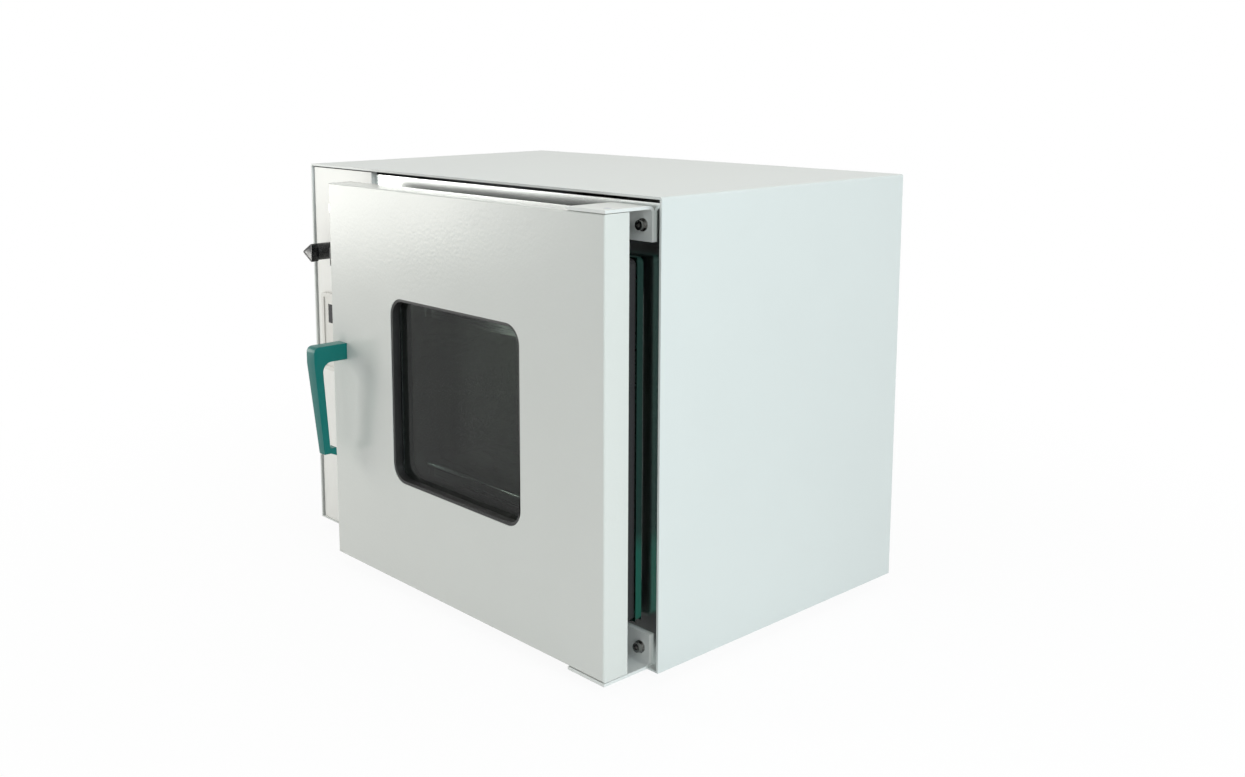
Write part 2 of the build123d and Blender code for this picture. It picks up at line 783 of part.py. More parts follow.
tee_x = gauge_x
gauge_back = column_face + gauge_depth
boss_back = gauge_back + gauge_boss


def pipe(points, radius, bends):
    """A round tube along straight runs joined by arcs."""
    with BuildLine() as route:
        FilletPolyline(*points, radius=bends)
    with BuildSketch(Plane(origin=route.line @ 0, z_dir=route.line % 0)) as profile:
        Circle(radius)
    sweep(profile.sketch, path=route.line)


outlet_y = column_back + valve_body_length / 2
fitting_z = valve_z - valve_body_radius

with BuildPart() as pipework:
    # Tee between chamber, gauge and vacuum valve
    slab((tee_x - tee_size / 2, tee_x + tee_size / 2),
         (vacuum_tube_y - tee_size / 2, vacuum_tube_y + tee_size / 2),
         (valve_z - tee_size / 2, valve_z + tee_size / 2))
    fillet(pipework.edges(), tee_edge)
    # Chamber to tee, tee to vacuum valve, gauge to tee, vacuum valve to hose nozzle
    cross_rod((vacuum_tube_y, valve_z), (tee_x + tee_size / 2, inside_left), tube_radius)
    pipe([(tee_x - tee_size / 2, vacuum_tube_y, valve_z), (vacuum_valve_x, vacuum_tube_y, valve_z),
          (vacuum_valve_x, valve_back, valve_z)], tube_radius, short_tube_bend)
    pipe([(gauge_x, boss_back, gauge_z), (gauge_x, vacuum_tube_y, gauge_z),
          (gauge_x, vacuum_tube_y, valve_z + tee_size / 2)], tube_radius, tube_bend)
    pipe([(vacuum_valve_x, outlet_y, fitting_z), (vacuum_valve_x, outlet_y, nozzle_z),
          (vacuum_valve_x, back - sheet - nozzle_flange, nozzle_z)], tube_radius, tube_bend)
    # Chamber to vent valve, and the vent's silencer
    pipe([(inside_left, vent_tube_y, valve_z), (vent_valve_x, vent_tube_y, valve_z),
          (vent_valve_x, valve_back, valve_z)], tube_radius, tube_bend)
    post((vent_valve_x, outlet_y), (fitting_z - silencer_length, fitting_z), silencer_radius)
keep(pipework, "pipework")

with BuildPart() as vacuum_nozzle:
    nozzle_center = (vacuum_valve_x, nozzle_z)
    rod(nozzle_center, (back - sheet - nozzle_flange, back - sheet), nozzle_flange_radius)
    rod(nozzle_center, (back - sheet, back + nozzle_reach), nozzle_radius)
    # Nut that clamps the nozzle to the rear panel
    with BuildSketch(facing(back + nozzle_nut)):
        with Locations(nozzle_center):
            RegularPolygon(nozzle_nut_radius, nut_side_count)
    extrude(amount=nozzle_nut)
    rod(nozzle_center, (back - sheet, back + nozzle_reach), nozzle_bore, mode=Mode.SUBTRACT)
keep(vacuum_nozzle, "vacuum_nozzle")

well_back = column_face - gauge_bezel + gauge_well
lens_back = column_face - gauge_bezel + lens_thickness
dial_radius = gauge_can_radius - gauge_wall
lens_radius = (gauge_radius + dial_radius) / 2
needle_y = well_back - dial_thickness - needle_thickness - soft_gap

with BuildPart() as gauge_case:
    gauge_center = (gauge_x, gauge_z)
    rod(gauge_center, (column_face - gauge_bezel, column_face), gauge_radius)
    rod(gauge_center, (column_face, gauge_back), gauge_can_radius)
    rod(gauge_center, (gauge_back, boss_back), gauge_boss_radius)
    rod(gauge_center, (column_face - gauge_bezel, well_back), dial_radius, mode=Mode.SUBTRACT)
    rod(gauge_center, (column_face - gauge_bezel, lens_back), lens_radius, mode=Mode.SUBTRACT)
keep(gauge_case, "gauge_case")

with BuildPart() as gauge_dial:
    rod(gauge_center, (well_back - dial_thickness, well_back), dial_radius)
    rod(gauge_center, (needle_y - soft_gap, well_back), needle_hub / 2, mode=Mode.SUBTRACT)
keep(gauge_dial, "gauge_dial")

with BuildPart() as gauge_needle:
    with BuildSketch(facing(needle_y + needle_thickness)):
        with Locations(gauge_center):
            Circle(needle_hub)
            with PolarLocations((needle_length - needle_tail) / 2, 1, start_angle=needle_rest):
                Rectangle(needle_length + needle_tail, needle_width)
    extrude(amount=needle_thickness)
    rod(gauge_center, (needle_y, well_back - soft_gap), needle_hub / 2 - running_gap)
keep(gauge_needle, "gauge_needle")

with BuildPart() as gauge_lens:
    rod(gauge_center, (column_face - gauge_bezel, lens_back), lens_radius)
keep(gauge_lens, "gauge_lens")

# ---- Temperature controller ------------------------------------------------
bezel_front = column_face - controller_bezel_depth
face_front = bezel_front + face_recess
key_xs = [column_middle + (index - (key_count - 1) / 2) * key_pitch for index in range(key_count)]
key_z = controller_z - key_drop
display_z = controller_z + display_rise
board_front = column_back + board_set_back

with BuildPart() as controller_bezel:
    face_size = controller_size - 2 * bezel_rim
    front_plate((column_middle, controller_z), (controller_size, controller_size), bezel_corner,
                (bezel_front, column_face))
    front_plate((column_middle, controller_z), (face_size, face_size), face_corner,
                (bezel_front, face_front), mode=Mode.SUBTRACT)
    slab((column_middle - display_width / 2, column_middle + display_width / 2),
         (face_front, face_front + display_thickness),
         (display_z - display_height / 2, display_z + display_height / 2), mode=Mode.SUBTRACT)
    for x in key_xs:
        slab((x - key_width / 2 - key_gap, x + key_width / 2 + key_gap), (face_front, column_face),
             (key_z - key_height / 2 - key_gap, key_z + key_height / 2 + key_gap), mode=Mode.SUBTRACT)
keep(controller_bezel, "controller_bezel")

with BuildPart() as display_window:
    slab((column_middle - display_width / 2, column_middle + display_width / 2),
         (face_front, face_front + display_thickness),
         (display_z - display_height / 2, display_z + display_height / 2))
keep(display_window, "display_window")

with BuildPart() as controller_case:
    half_body = controller_body_size / 2
    slab((column_middle - half_body, column_middle + half_body),
         (column_face, column_back + controller_body_depth),
         (controller_z - half_body, controller_z + half_body))
    inner_half = half_body - controller_wall
    slab((column_middle - inner_half, column_middle + inner_half),
         (column_face, column_back + controller_body_depth - controller_wall),
         (controller_z - inner_half, controller_z + inner_half), mode=Mode.SUBTRACT)
keep(controller_case, "controller_case")

with BuildPart() as controller_board:
    slab((column_middle - inner_half, column_middle + inner_half),
         (board_front, board_front + board_thickness),
         (controller_z - inner_half, controller_z + inner_half))
keep(controller_board, "controller_board")

key_names = ("key_set", "key_shift", "key_down", "key_up")
for key_name, key_x in zip(key_names, key_xs):
    with BuildPart() as key:
        slab((key_x - key_width / 2, key_x + key_width / 2),
             (face_front - key_proud, face_front + key_depth),
             (key_z - key_height / 2, key_z + key_height / 2))
        fillet(key.edges().filter_by(Axis.Y), key_proud)
        slab((key_x - key_proud, key_x + key_proud),
             (face_front + key_depth, board_front - key_travel - key_gap),
             (key_z - key_proud, key_z + key_proud))
    keep(key, key_name)

# ---- Power switch -----------------------------------------------------------
switch_front = column_face - switch_rim_depth
well_width = switch_width - 2 * switch_rim
well_tall = switch_tall - 2 * switch_rim
rocker_pivot_y = column_face + rocker_sink

with BuildPart() as switch_body:
    slab((column_middle - switch_width / 2 - switch_rim, column_middle + switch_width / 2 + switch_rim),
         (switch_front, column_face),
         (switch_z - switch_tall / 2 - switch_rim, switch_z + switch_tall / 2 + switch_rim))
    slab((column_middle - switch_width / 2, column_middle + switch_width / 2),
         (column_face, column_face + switch_body_depth),
         (switch_z - switch_tall / 2, switch_z + switch_tall / 2))
    slab((column_middle - well_width / 2, column_middle + well_width / 2),
         (switch_front, column_face + switch_body_depth - switch_rim),
         (switch_z - well_tall / 2, switch_z + well_tall / 2), mode=Mode.SUBTRACT)
keep(switch_body, "switch_body")

with BuildPart() as switch_rocker:
    rocker_radius = well_tall / 2 - rocker_gap
    rocker_x = (column_middle - well_width / 2 + rocker_gap, column_middle + well_width / 2 - rocker_gap)
    cross_rod((rocker_pivot_y, switch_z), rocker_x, rocker_radius)
    rocker_plane = Plane(origin=(0, rocker_pivot_y, switch_z), x_dir=(1, 0, 0),
                         z_dir=(0, -1, 0)).rotated((rocker_tilt, 0, 0))
    with BuildSketch(rocker_plane.offset(rocker_thickness)):
        with Locations((column_middle, 0)):
            Rectangle(case_width, case_height)
    extrude(amount=rocker_radius * 2, mode=Mode.SUBTRACT)
    pin_x = (column_middle - well_width / 2 + running_gap, column_middle + well_width / 2 - running_gap)
    cross_rod((rocker_pivot_y, switch_z), pin_x, rocker_pin_radius)
keep(switch_rocker, "switch_rocker")

# ---- Mains inlet, relay and wiring ------------------------------------------
with BuildPart() as inlet_socket:
    slab((inlet_x - inlet_width / 2 - inlet_lip, inlet_x + inlet_width / 2 + inlet_lip),
         (back, back + inlet_plate),
         (inlet_z - inlet_tall / 2 - inlet_lip, inlet_z + inlet_tall / 2 + inlet_lip))
    slab((inlet_x - inlet_width / 2, inlet_x + inlet_width / 2), (back - inlet_depth, back),
         (inlet_z - inlet_tall / 2, inlet_z + inlet_tall / 2))
    slab((inlet_x - inlet_socket_width / 2, inlet_x + inlet_socket_width / 2),
         (back + inlet_plate - inlet_socket_depth, back + inlet_plate),
         (inlet_z - inlet_socket_tall / 2, inlet_z + inlet_socket_tall / 2), mode=Mode.SUBTRACT)
keep(inlet_socket, "inlet_socket")

with BuildPart() as inlet_pins:
    for x, z in ((-inlet_pin_spacing, 0), (0, inlet_pin_width), (inlet_pin_spacing, 0)):
        slab((inlet_x + x - inlet_pin_width / 2, inlet_x + x + inlet_pin_width / 2),
             (back + inlet_plate - inlet_socket_depth, back),
             (inlet_z + z - inlet_pin_tall / 2, inlet_z + z + inlet_pin_tall / 2))
keep(inlet_pins, "inlet_pins")

with BuildPart() as solid_state_relay:
    relay_y = (front + relay_depth, front + relay_depth + relay_width)
    slab((column_right - relay_thick, column_right), relay_y,
         (base + relay_height - relay_tall, base + relay_height))
    fillet(solid_state_relay.edges().filter_by(Axis.X), relay_corner)
keep(solid_state_relay, "solid_state_relay")

with BuildPart() as power_loom:
    loom_z = panel_bottom + loom_rise + loom_radius
    switch_tail = column_face + switch_body_depth
    loom_front = switch_tail + loom_bend + loom_straight
    inlet_front = back - inlet_depth
    loom_back = inlet_front - loom_bend - loom_straight
    pipe([(column_middle, switch_tail, switch_z), (column_middle, loom_front, switch_z),
          (column_middle, loom_front, loom_z), (column_middle, loom_back, loom_z),
          (column_middle, loom_back, inlet_z), (column_middle, inlet_front, inlet_z)],
         loom_radius, loom_bend)
keep(power_loom, "power_loom")

# ---- Door -------------------------------------------------------------------
window = (door_middle, door_center)
window_size = (window_width, window_height)
pane_front = door_front + rim_depth
pane_back = pane_front + pane_thickness
pane_size = (window_width + 2 * pane_margin, window_height + 2 * pane_margin)
bush_radius = pin_radius + running_gap + bush_wall
handle_bush_radius = spindle_radius + running_gap + spindle_bush_wall
block_x = (door_right - door_sheet - block_width, door_right - door_sheet)
block_y = (hinge_y - block_depth / 2, hinge_y + block_depth / 2)


def hinge_bores(radius):
    """Upright bores on the hinge axis, through the door's top and bottom edges."""
    for z_span in ((door_bottom - hinge_gap, door_bottom + pin_reach),
                   (door_top - pin_reach, door_top + hinge_gap)):
        post((hinge_x, hinge_y), z_span, radius, mode=Mode.SUBTRACT)


def spindle_bush():
    """The sleeve that the handle's spindle turns in, through the thickness of the door."""
    rod((handle_x, handle_z), (door_front, door_back), handle_bush_radius)
    rod((handle_x, handle_z), (door_back, door_back + washer), handle_bush_radius + spindle_bush_wall)
    rod((handle_x, handle_z), (door_front, door_back + washer), spindle_radius + running_gap,
        mode=Mode.SUBTRACT)


with BuildPart() as door_pan:
    slab((door_left, door_right), (door_front, door_back), (door_bottom, door_top))
    fillet(door_pan.faces().sort_by(Axis.Y)[0].edges(), door_fold)
    slab((door_left + door_sheet, door_right - door_sheet), (door_front + door_sheet, door_back),
         (door_bottom + door_sheet, door_top - door_sheet), mode=Mode.SUBTRACT)
    front_plate(window, (window_width + 2 * door_sheet, window_height + 2 * door_sheet),
                window_corner + door_sheet, (door_front + door_sheet / 2, pane_front))
    front_plate(window, window_size, window_corner, (door_front, pane_front), mode=Mode.SUBTRACT)
    hinge_bores(bush_radius)
    rod((handle_x, handle_z), (door_front, door_front + door_sheet), handle_bush_radius, mode=Mode.SUBTRACT)
keep(door_pan, "door_pan")

with BuildPart() as window_seal:
    front_ring(window, window_size, window_corner, seal_lip, (door_front + door_sheet / 2, pane_front))
keep(window_seal, "window_seal")

with BuildPart() as window_pane:
    front_plate(window, pane_size, window_corner, (pane_front, pane_back))
keep(window_pane, "window_pane")

with BuildPart() as pane_retainer:
    front_ring(window, (pane_size[0] + 2 * retainer_margin, pane_size[1] + 2 * retainer_margin),
               window_corner, retainer_margin + pane_margin, (pane_back, pane_back + retainer_sheet))
    front_ring(window, (pane_size[0] + 2 * retainer_margin, pane_size[1] + 2 * retainer_margin),
               window_corner, retainer_sheet, (door_front + door_sheet, pane_back))
keep(pane_retainer, "pane_retainer")

with BuildPart() as door_cover:
    cover_edge = door_sheet + cover_gap
    slab((door_left + cover_edge, door_right - cover_edge), (door_back - cover_sheet, door_back),
         (door_bottom + cover_edge, door_top - cover_edge))
    # Lining of the window, from its retainer to the back of the door
    cover_hole = (window_width + 2 * cover_margin, window_height + 2 * cover_margin)
    lining_y = (pane_back + retainer_sheet, door_back)
    front_plate(window, (cover_hole[0] + 2 * cover_sheet, cover_hole[1] + 2 * cover_sheet), window_corner,
                lining_y)
    front_plate(window, cover_hole, window_corner, lining_y, mode=Mode.SUBTRACT)
    rod((handle_x, handle_z), (door_back - cover_sheet, door_back), handle_bush_radius, mode=Mode.SUBTRACT)
keep(door_cover, "door_cover")

with BuildPart() as hinge_blocks:
    for low in (door_bottom + door_sheet, door_top - door_sheet - block_height):
        slab(block_x, block_y, (low, low + block_height))
    hinge_bores(bush_radius)
keep(hinge_blocks, "hinge_blocks")

with BuildPart() as door_bushes:
    for inner, outer in ((door_bottom + pin_reach, door_bottom), (door_top - pin_reach, door_top)):
        post((hinge_x, hinge_y), sorted((inner, outer)), bush_radius)
        flange_end = outer + (hinge_gap - running_gap) * (1 if outer > inner else -1)
        post((hinge_x, hinge_y), sorted((outer, flange_end)), bush_radius + bush_wall)
    hinge_bores(pin_radius + running_gap)
    spindle_bush()
keep(door_bushes, "door_bushes")

glass_center = (chamber_middle, door_center)
with BuildPart() as pressure_glass:
    front_plate(glass_center, (glass_width, glass_height), glass_corner, (glass_front, glass_back))
    chamfer(pressure_glass.faces().sort_by(Axis.Y)[-1].edges(), key_proud)
keep(pressure_glass, "pressure_glass")

with BuildPart() as glass_cushion:
    front_ring(glass_center, (glass_width - 2 * cushion_inset, glass_height - 2 * cushion_inset),
               glass_corner, cushion_width, (door_back, glass_front))
keep(glass_cushion, "glass_cushion")

with BuildPart() as glass_clips:
    for side in (-1, 1):
        glass_edge = door_center + side * (glass_height / 2 + cover_gap)
        web = sorted((glass_edge, glass_edge + side * clip_sheet))
        foot = sorted((glass_edge, glass_edge + side * clip_foot))
        lip = sorted((glass_edge - side * clip_bite, glass_edge + side * clip_sheet))
        for x in (chamber_middle - clip_spacing / 2, chamber_middle + clip_spacing / 2):
            clip_x = (x - clip_width / 2, x + clip_width / 2)
            slab(clip_x, (door_back, glass_back + cover_gap + clip_sheet), web)
            slab(clip_x, (door_back, door_back + clip_sheet), foot)
            slab(clip_x, (glass_back + cover_gap, glass_back + cover_gap + clip_sheet), lip)
keep(glass_clips, "glass_clips")

# ---- Hinge brackets ---------------------------------------------------------
with BuildPart() as hinge_brackets:
    for outer, side in ((leg_bottom, 1), (leg_top, -1)):
        inner = outer + side * bracket_sheet
        tip = outer + side * bracket_leg
        with BuildSketch(side_view(bracket_left)) as bracket_profile:
            with BuildLine():
                Polyline((door_front, outer), (frame_face, outer), (frame_face, tip),
                         (frame_face - bracket_sheet, tip), (frame_face - bracket_sheet, inner),
                         (door_front, inner), close=True)
            make_face()
            fillet(bracket_profile.vertices().sort_by_distance((frame_face, outer))[0], bracket_bend)
            fillet(bracket_profile.vertices().sort_by_distance((frame_face - bracket_sheet, inner))[0],
                   bracket_bend - bracket_sheet)
        extrude(amount=bracket_width)
    post((hinge_x, hinge_y), (leg_bottom, leg_top), pin_radius, mode=Mode.SUBTRACT)
    frame_screw_holes((frame_face - bracket_sheet, frame_face))
keep(hinge_brackets, "hinge_brackets")

with BuildPart() as hinge_pins:
    for outer, side in ((leg_bottom, 1), (leg_top, -1)):
        inner = outer + side * (bracket_sheet + hinge_gap + pin_reach - trim_gap)
        post((hinge_x, hinge_y), sorted((outer, inner)), pin_radius)
keep(hinge_pins, "hinge_pins")


def socket_screw(place, seat):
    """A socket-head screw with its washer, which faces the front on a seat."""
    rod(place, (seat - washer, seat), washer_radius)
    rod(place, (seat - washer - screw_head, seat - washer), screw_head_radius)
    rod(place, (seat - washer, seat + screw_length), screw_radius)
    with BuildSketch(facing(seat - washer - screw_head)) as profile:
        with Locations(place):
            RegularPolygon(screw_socket, nut_side_count)
    extrude(profile.sketch, amount=-socket_depth, mode=Mode.SUBTRACT)


with BuildPart() as frame_screws:
    for place in hinge_screw_places:
        socket_screw(place, frame_face - bracket_sheet)
    for place in keeper_screw_places:
        socket_screw(place, frame_face - keeper_sheet)
keep(frame_screws, "frame_screws")

# ---- Handle and latch -------------------------------------------------------
arm_top = handle_z + arm_height / 2
arm_under = handle_z - arm_height / 2
arm_back = door_front - soft_gap
foot_z = handle_z - grip_drop
grip_front = door_front - handle_reach
foot_front = grip_front + grip_lean
foot_back = foot_front + foot_thickness
toe_back = foot_back + grip_toe
bend_back = grip_front + grip_thickness

with BuildPart() as handle_lever:
    with BuildSketch(side_view(handle_x)) as handle_profile:
        with BuildLine():
            Polyline((arm_back, arm_top), (grip_front, arm_top), (grip_front, arm_under),
                     (foot_front, foot_z), (foot_back + toe_drop, foot_z),
                     (toe_back - toe_drop, foot_z - toe_drop), (toe_back, foot_z - toe_drop),
                     (toe_back, foot_z + toe_height), (foot_back, foot_z + toe_height),
                     (bend_back, arm_under), (arm_back, arm_under), close=True)
        make_face()
        fillet(handle_profile.vertices().sort_by_distance((bend_back, arm_under))[0], inner_radius)
        fillet(handle_profile.vertices().sort_by_distance((grip_front, arm_top))[0], elbow_radius)
        fillet(handle_profile.vertices().sort_by_distance((toe_back, foot_z + toe_height))[0], handle_edge)
        fillet(handle_profile.vertices().sort_by_distance((foot_front, foot_z))[0], handle_edge)
    extrude(amount=handle_width / 2, both=True)
    with BuildSketch(facing(door_front)):
        with BuildLine():
            Polyline((handle_x - handle_width / 2, arm_top), (handle_x + handle_width / 2, arm_top),
                     (handle_x + handle_width / 2, arm_under),
                     (handle_x + handle_foot_width / 2, foot_z - toe_drop),
                     (handle_x - handle_foot_width / 2, foot_z - toe_drop),
                     (handle_x - handle_width / 2, arm_under), close=True)
        make_face()
    extrude(amount=handle_reach, mode=Mode.INTERSECT)
    rod((handle_x, handle_z), (door_front - spindle_grip, door_front), spindle_radius, mode=Mode.SUBTRACT)
keep(handle_lever, "handle_lever")

with BuildPart() as handle_spindle:
    rod((handle_x, handle_z), (door_front - spindle_grip, cam_back + nut_thickness), spindle_radius)
keep(handle_spindle, "handle_spindle")

with BuildPart() as latch_cam:
    with BuildSketch(facing(cam_back)):
        with Locations((handle_x, handle_z)):
            Circle(cam_hub_radius)
            with Locations((0, -cam_arm_length / 2)):
                Rectangle(cam_arm_width, cam_arm_length)
            Circle(spindle_radius, mode=Mode.SUBTRACT)
    extrude(amount=cam_thickness)
    fillet(latch_cam.edges().filter_by(Axis.Y).group_by(Axis.Z)[0], handle_edge)
    # Nut that clamps the cam to the spindle
    with BuildSketch(facing(cam_back + nut_thickness)):
        with Locations((handle_x, handle_z)):
            RegularPolygon(nut_radius, nut_side_count)
            Circle(spindle_radius, mode=Mode.SUBTRACT)
    extrude(amount=nut_thickness)
keep(latch_cam, "latch_cam")

with BuildPart() as latch_keeper:
    bridge_front = cam_back - cam_thickness - keeper_gap - keeper_sheet
    keeper_x = (keeper_left, keeper_right)
    keeper_z = (keeper_top - keeper_height, keeper_top)
    slab(keeper_x, (frame_face - keeper_sheet, frame_face), (keeper_foot_bottom, keeper_top))
    slab((keeper_right - keeper_sheet, keeper_right), (bridge_front, frame_face), keeper_z)
    slab(keeper_x, (bridge_front, bridge_front + keeper_sheet), keeper_z)
    frame_screw_holes((frame_face - keeper_sheet, frame_face))
keep(latch_keeper, "latch_keeper")
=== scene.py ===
# %% [markdown]
# # A bench vacuum oven
# The metal box, its door, its column of controls and its chamber come from the CAD model, which is
# the fixed frame. This file dresses them: it gives every part its real finish, and it models the
# pieces whose soft edges and small marks a CAD solid doesn't carry.

# %% Load the frame
import bpy
import math
from mathutils import Matrix, Vector


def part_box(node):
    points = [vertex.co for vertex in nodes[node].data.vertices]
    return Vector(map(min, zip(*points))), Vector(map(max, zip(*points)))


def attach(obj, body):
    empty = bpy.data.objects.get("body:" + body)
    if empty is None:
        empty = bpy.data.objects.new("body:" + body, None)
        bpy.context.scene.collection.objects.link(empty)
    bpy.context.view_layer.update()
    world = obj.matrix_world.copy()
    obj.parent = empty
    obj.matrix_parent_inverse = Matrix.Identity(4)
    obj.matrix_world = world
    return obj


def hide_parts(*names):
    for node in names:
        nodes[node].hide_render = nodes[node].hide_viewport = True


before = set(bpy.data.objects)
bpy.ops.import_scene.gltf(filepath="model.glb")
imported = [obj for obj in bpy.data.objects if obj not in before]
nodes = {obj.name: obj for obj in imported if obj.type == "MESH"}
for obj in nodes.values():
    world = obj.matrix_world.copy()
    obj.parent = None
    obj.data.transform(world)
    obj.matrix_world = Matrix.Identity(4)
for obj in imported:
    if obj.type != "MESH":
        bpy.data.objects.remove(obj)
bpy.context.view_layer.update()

# %% [markdown]
# ## The camera
# The oven is seen from its right front corner, a little above the case's top. The camera could be
# aimed with a constraint, but a written matrix keeps the exact turn and tilt, so that is used here.
# Its small shift only places the oven in the picture.

# %% Camera
CAMERA_PLACE = Vector((1.0927, -0.9866, 0.5695))
CAMERA_TURN, CAMERA_DIP, CAMERA_ROLL = 0.8474, 0.1536, -0.0040
ahead = Vector((-math.sin(CAMERA_TURN) * math.cos(CAMERA_DIP),
                math.cos(CAMERA_TURN) * math.cos(CAMERA_DIP), -math.sin(CAMERA_DIP)))
sideways = ahead.cross(Vector((0, 0, 1))).normalized()
upward = sideways.cross(ahead)
camera_x = math.cos(CAMERA_ROLL) * sideways + math.sin(CAMERA_ROLL) * upward
camera_y = -math.sin(CAMERA_ROLL) * sideways + math.cos(CAMERA_ROLL) * upward
bpy.ops.object.camera_add()
camera = bpy.context.object
camera.matrix_world = Matrix.Translation(CAMERA_PLACE) @ Matrix(
    (camera_x, camera_y, -ahead)).transposed().to_4x4()
camera.data.sensor_width = 36.0
camera.data.lens = 37.79
camera.data.shift_x = 0.0541
camera.data.shift_y = -0.0936
camera.data.clip_end = 50.0
bpy.context.scene.camera = camera
print("camera", tuple(round(v, 3) for v in CAMERA_PLACE))

# %% [markdown]
# ## Helpers for shapes
# A piece starts as a primitive at its size and place, and is then shaped in edit mode. Edit mode
# works on what is selected, so each step first selects faces or edges by their place.


# %% Shape helpers
def deselect():
    if bpy.context.object and bpy.context.object.mode != "OBJECT":
        bpy.ops.object.mode_set(mode="OBJECT")
    bpy.ops.object.select_all(action="DESELECT")


def settle(name):
    """Names the new object and puts its place, turn and size into its mesh."""
    piece = bpy.context.object
    piece.name = name
    bpy.ops.object.transform_apply(location=True, rotation=True, scale=True)
    return piece


def block(name, low, high):
    """A block between two corners, the start of a shaped piece."""
    deselect()
    low, high = Vector(low), Vector(high)
    bpy.ops.mesh.primitive_cube_add(size=1, location=(low + high) / 2)
    bpy.context.object.scale = high - low
    return settle(name)


def disc(name, center, radius, depth, direction, sides=48):
    """A round bar about its middle, along a direction."""
    deselect()
    turn = Vector(direction).to_track_quat("Z", "Y").to_euler()
    bpy.ops.mesh.primitive_cylinder_add(vertices=sides, radius=radius, depth=depth, location=center,
                                        rotation=turn)
    return settle(name)


def pick_faces(piece, wanted):
    """Enters edit mode with only the faces selected for which wanted(center, normal) holds."""
    deselect()
    bpy.context.view_layer.objects.active = piece
    piece.select_set(True)
    bpy.ops.object.mode_set(mode="EDIT")
    bpy.ops.mesh.select_mode(type="FACE")
    bpy.ops.mesh.select_all(action="DESELECT")
    bpy.ops.object.mode_set(mode="OBJECT")
    for face in piece.data.polygons:
        face.select = bool(wanted(face.center, face.normal))
    bpy.ops.object.mode_set(mode="EDIT")


def pick_edges(piece, wanted):
    """Enters edit mode with only the edges selected for which wanted(end, other end) holds."""
    deselect()
    bpy.context.view_layer.objects.active = piece
    piece.select_set(True)
    bpy.ops.object.mode_set(mode="EDIT")
    bpy.ops.mesh.select_mode(type="EDGE")
    bpy.ops.mesh.select_all(action="DESELECT")
    bpy.ops.object.mode_set(mode="OBJECT")
    points = piece.data.vertices
    for edge in piece.data.edges:
        edge.select = bool(wanted(points[edge.vertices[0]].co, points[edge.vertices[1]].co))
    bpy.ops.object.mode_set(mode="EDIT")


def leave_edit():
    bpy.ops.object.mode_set(mode="OBJECT")


def soften(piece, width, segments=3, angle=35):
    """Rounds the sharp edges with a Bevel modifier and smooths the shading."""
    deselect()
    bpy.context.view_layer.objects.active = piece
    piece.select_set(True)
    bevel = piece.modifiers.new("rounded_edges", "BEVEL")
    bevel.width = width
    bevel.segments = segments
    bevel.limit_method = "ANGLE"
    bevel.angle_limit = math.radians(angle)
    bpy.ops.object.modifier_apply(modifier=bevel.name)
    bpy.ops.object.shade_smooth_by_angle(angle=math.radians(40))
    return piece


print("shape helpers ready")

# %% [markdown]
# ## Helpers for finishes
# Every finish is a Principled shader with a pattern on Object coordinates, so that it stays on the
# metal when a door or handle moves. Numbers that are the same all over are set on the shader.


# %% Finish helpers
def finish(name):
    """A new material, its nodes, its shader and its Object coordinates."""
    material = bpy.data.materials.new(name)
    material.use_nodes = True
    tree = material.node_tree
    shader = tree.nodes["Principled BSDF"]
    place = tree.nodes.new("ShaderNodeTexCoord").outputs["Object"]
    return material, tree, shader, place


def noise(tree, place, scale, detail=3.0, rough=0.5, stretch=(1, 1, 1)):
    """A noise pattern, drawn out along an axis where stretch is small."""
    mapping = tree.nodes.new("ShaderNodeMapping")
    mapping.inputs["Scale"].default_value = stretch
    texture = tree.nodes.new("ShaderNodeTexNoise")
    texture.inputs["Scale"].default_value = scale
    texture.inputs["Detail"].default_value = detail
    texture.inputs["Roughness"].default_value = rough
    tree.links.new(place, mapping.inputs["Vector"])
    tree.links.new(mapping.outputs["Vector"], texture.inputs["Vector"])
    return texture.outputs["Fac"]


def spread(tree, value, low, high):
    """Turns a pattern's middle range into values from low to high."""
    ranger = tree.nodes.new("ShaderNodeMapRange")
    ranger.inputs["From Min"].default_value = 0.35
    ranger.inputs["From Max"].default_value = 0.65
    ranger.inputs["To Min"].default_value = low
    ranger.inputs["To Max"].default_value = high
    tree.links.new(value, ranger.inputs["Value"])
    return ranger.outputs["Result"]


def tint(tree, value, dark, light):
    """A colour between two, led by a pattern."""
    ramp = tree.nodes.new("ShaderNodeValToRGB")
    ramp.color_ramp.elements[0].position = 0.3
    ramp.color_ramp.elements[0].color = (*dark, 1)
    ramp.color_ramp.elements[1].position = 0.7
    ramp.color_ramp.elements[1].color = (*light, 1)
    tree.links.new(value, ramp.inputs["Fac"])
    return ramp.outputs["Color"]


def relief(tree, shader, value, strength, depth):
    """A fine bump of that depth in metres."""
    bump = tree.nodes.new("ShaderNodeBump")
    bump.inputs["Strength"].default_value = strength
    bump.inputs["Distance"].default_value = depth
    tree.links.new(value, bump.inputs["Height"])
    tree.links.new(bump.outputs["Normal"], shader.inputs["Normal"])


def wear(node, material):
    """Gives a CAD node its finish."""
    slots = nodes[node].data.materials
    slots.clear()
    slots.append(material)


print("finish helpers ready")

# %% [markdown]
# ## Powder-coated steel
# The case and door are sheet steel with a fine orange-peel powder coat. The coat melts into low
# soft bumps about 3 mm apart, which break up a highlight but leave the surface even from afar.
# A bump from two noises gives that; a displaced mesh would need millions of faces.


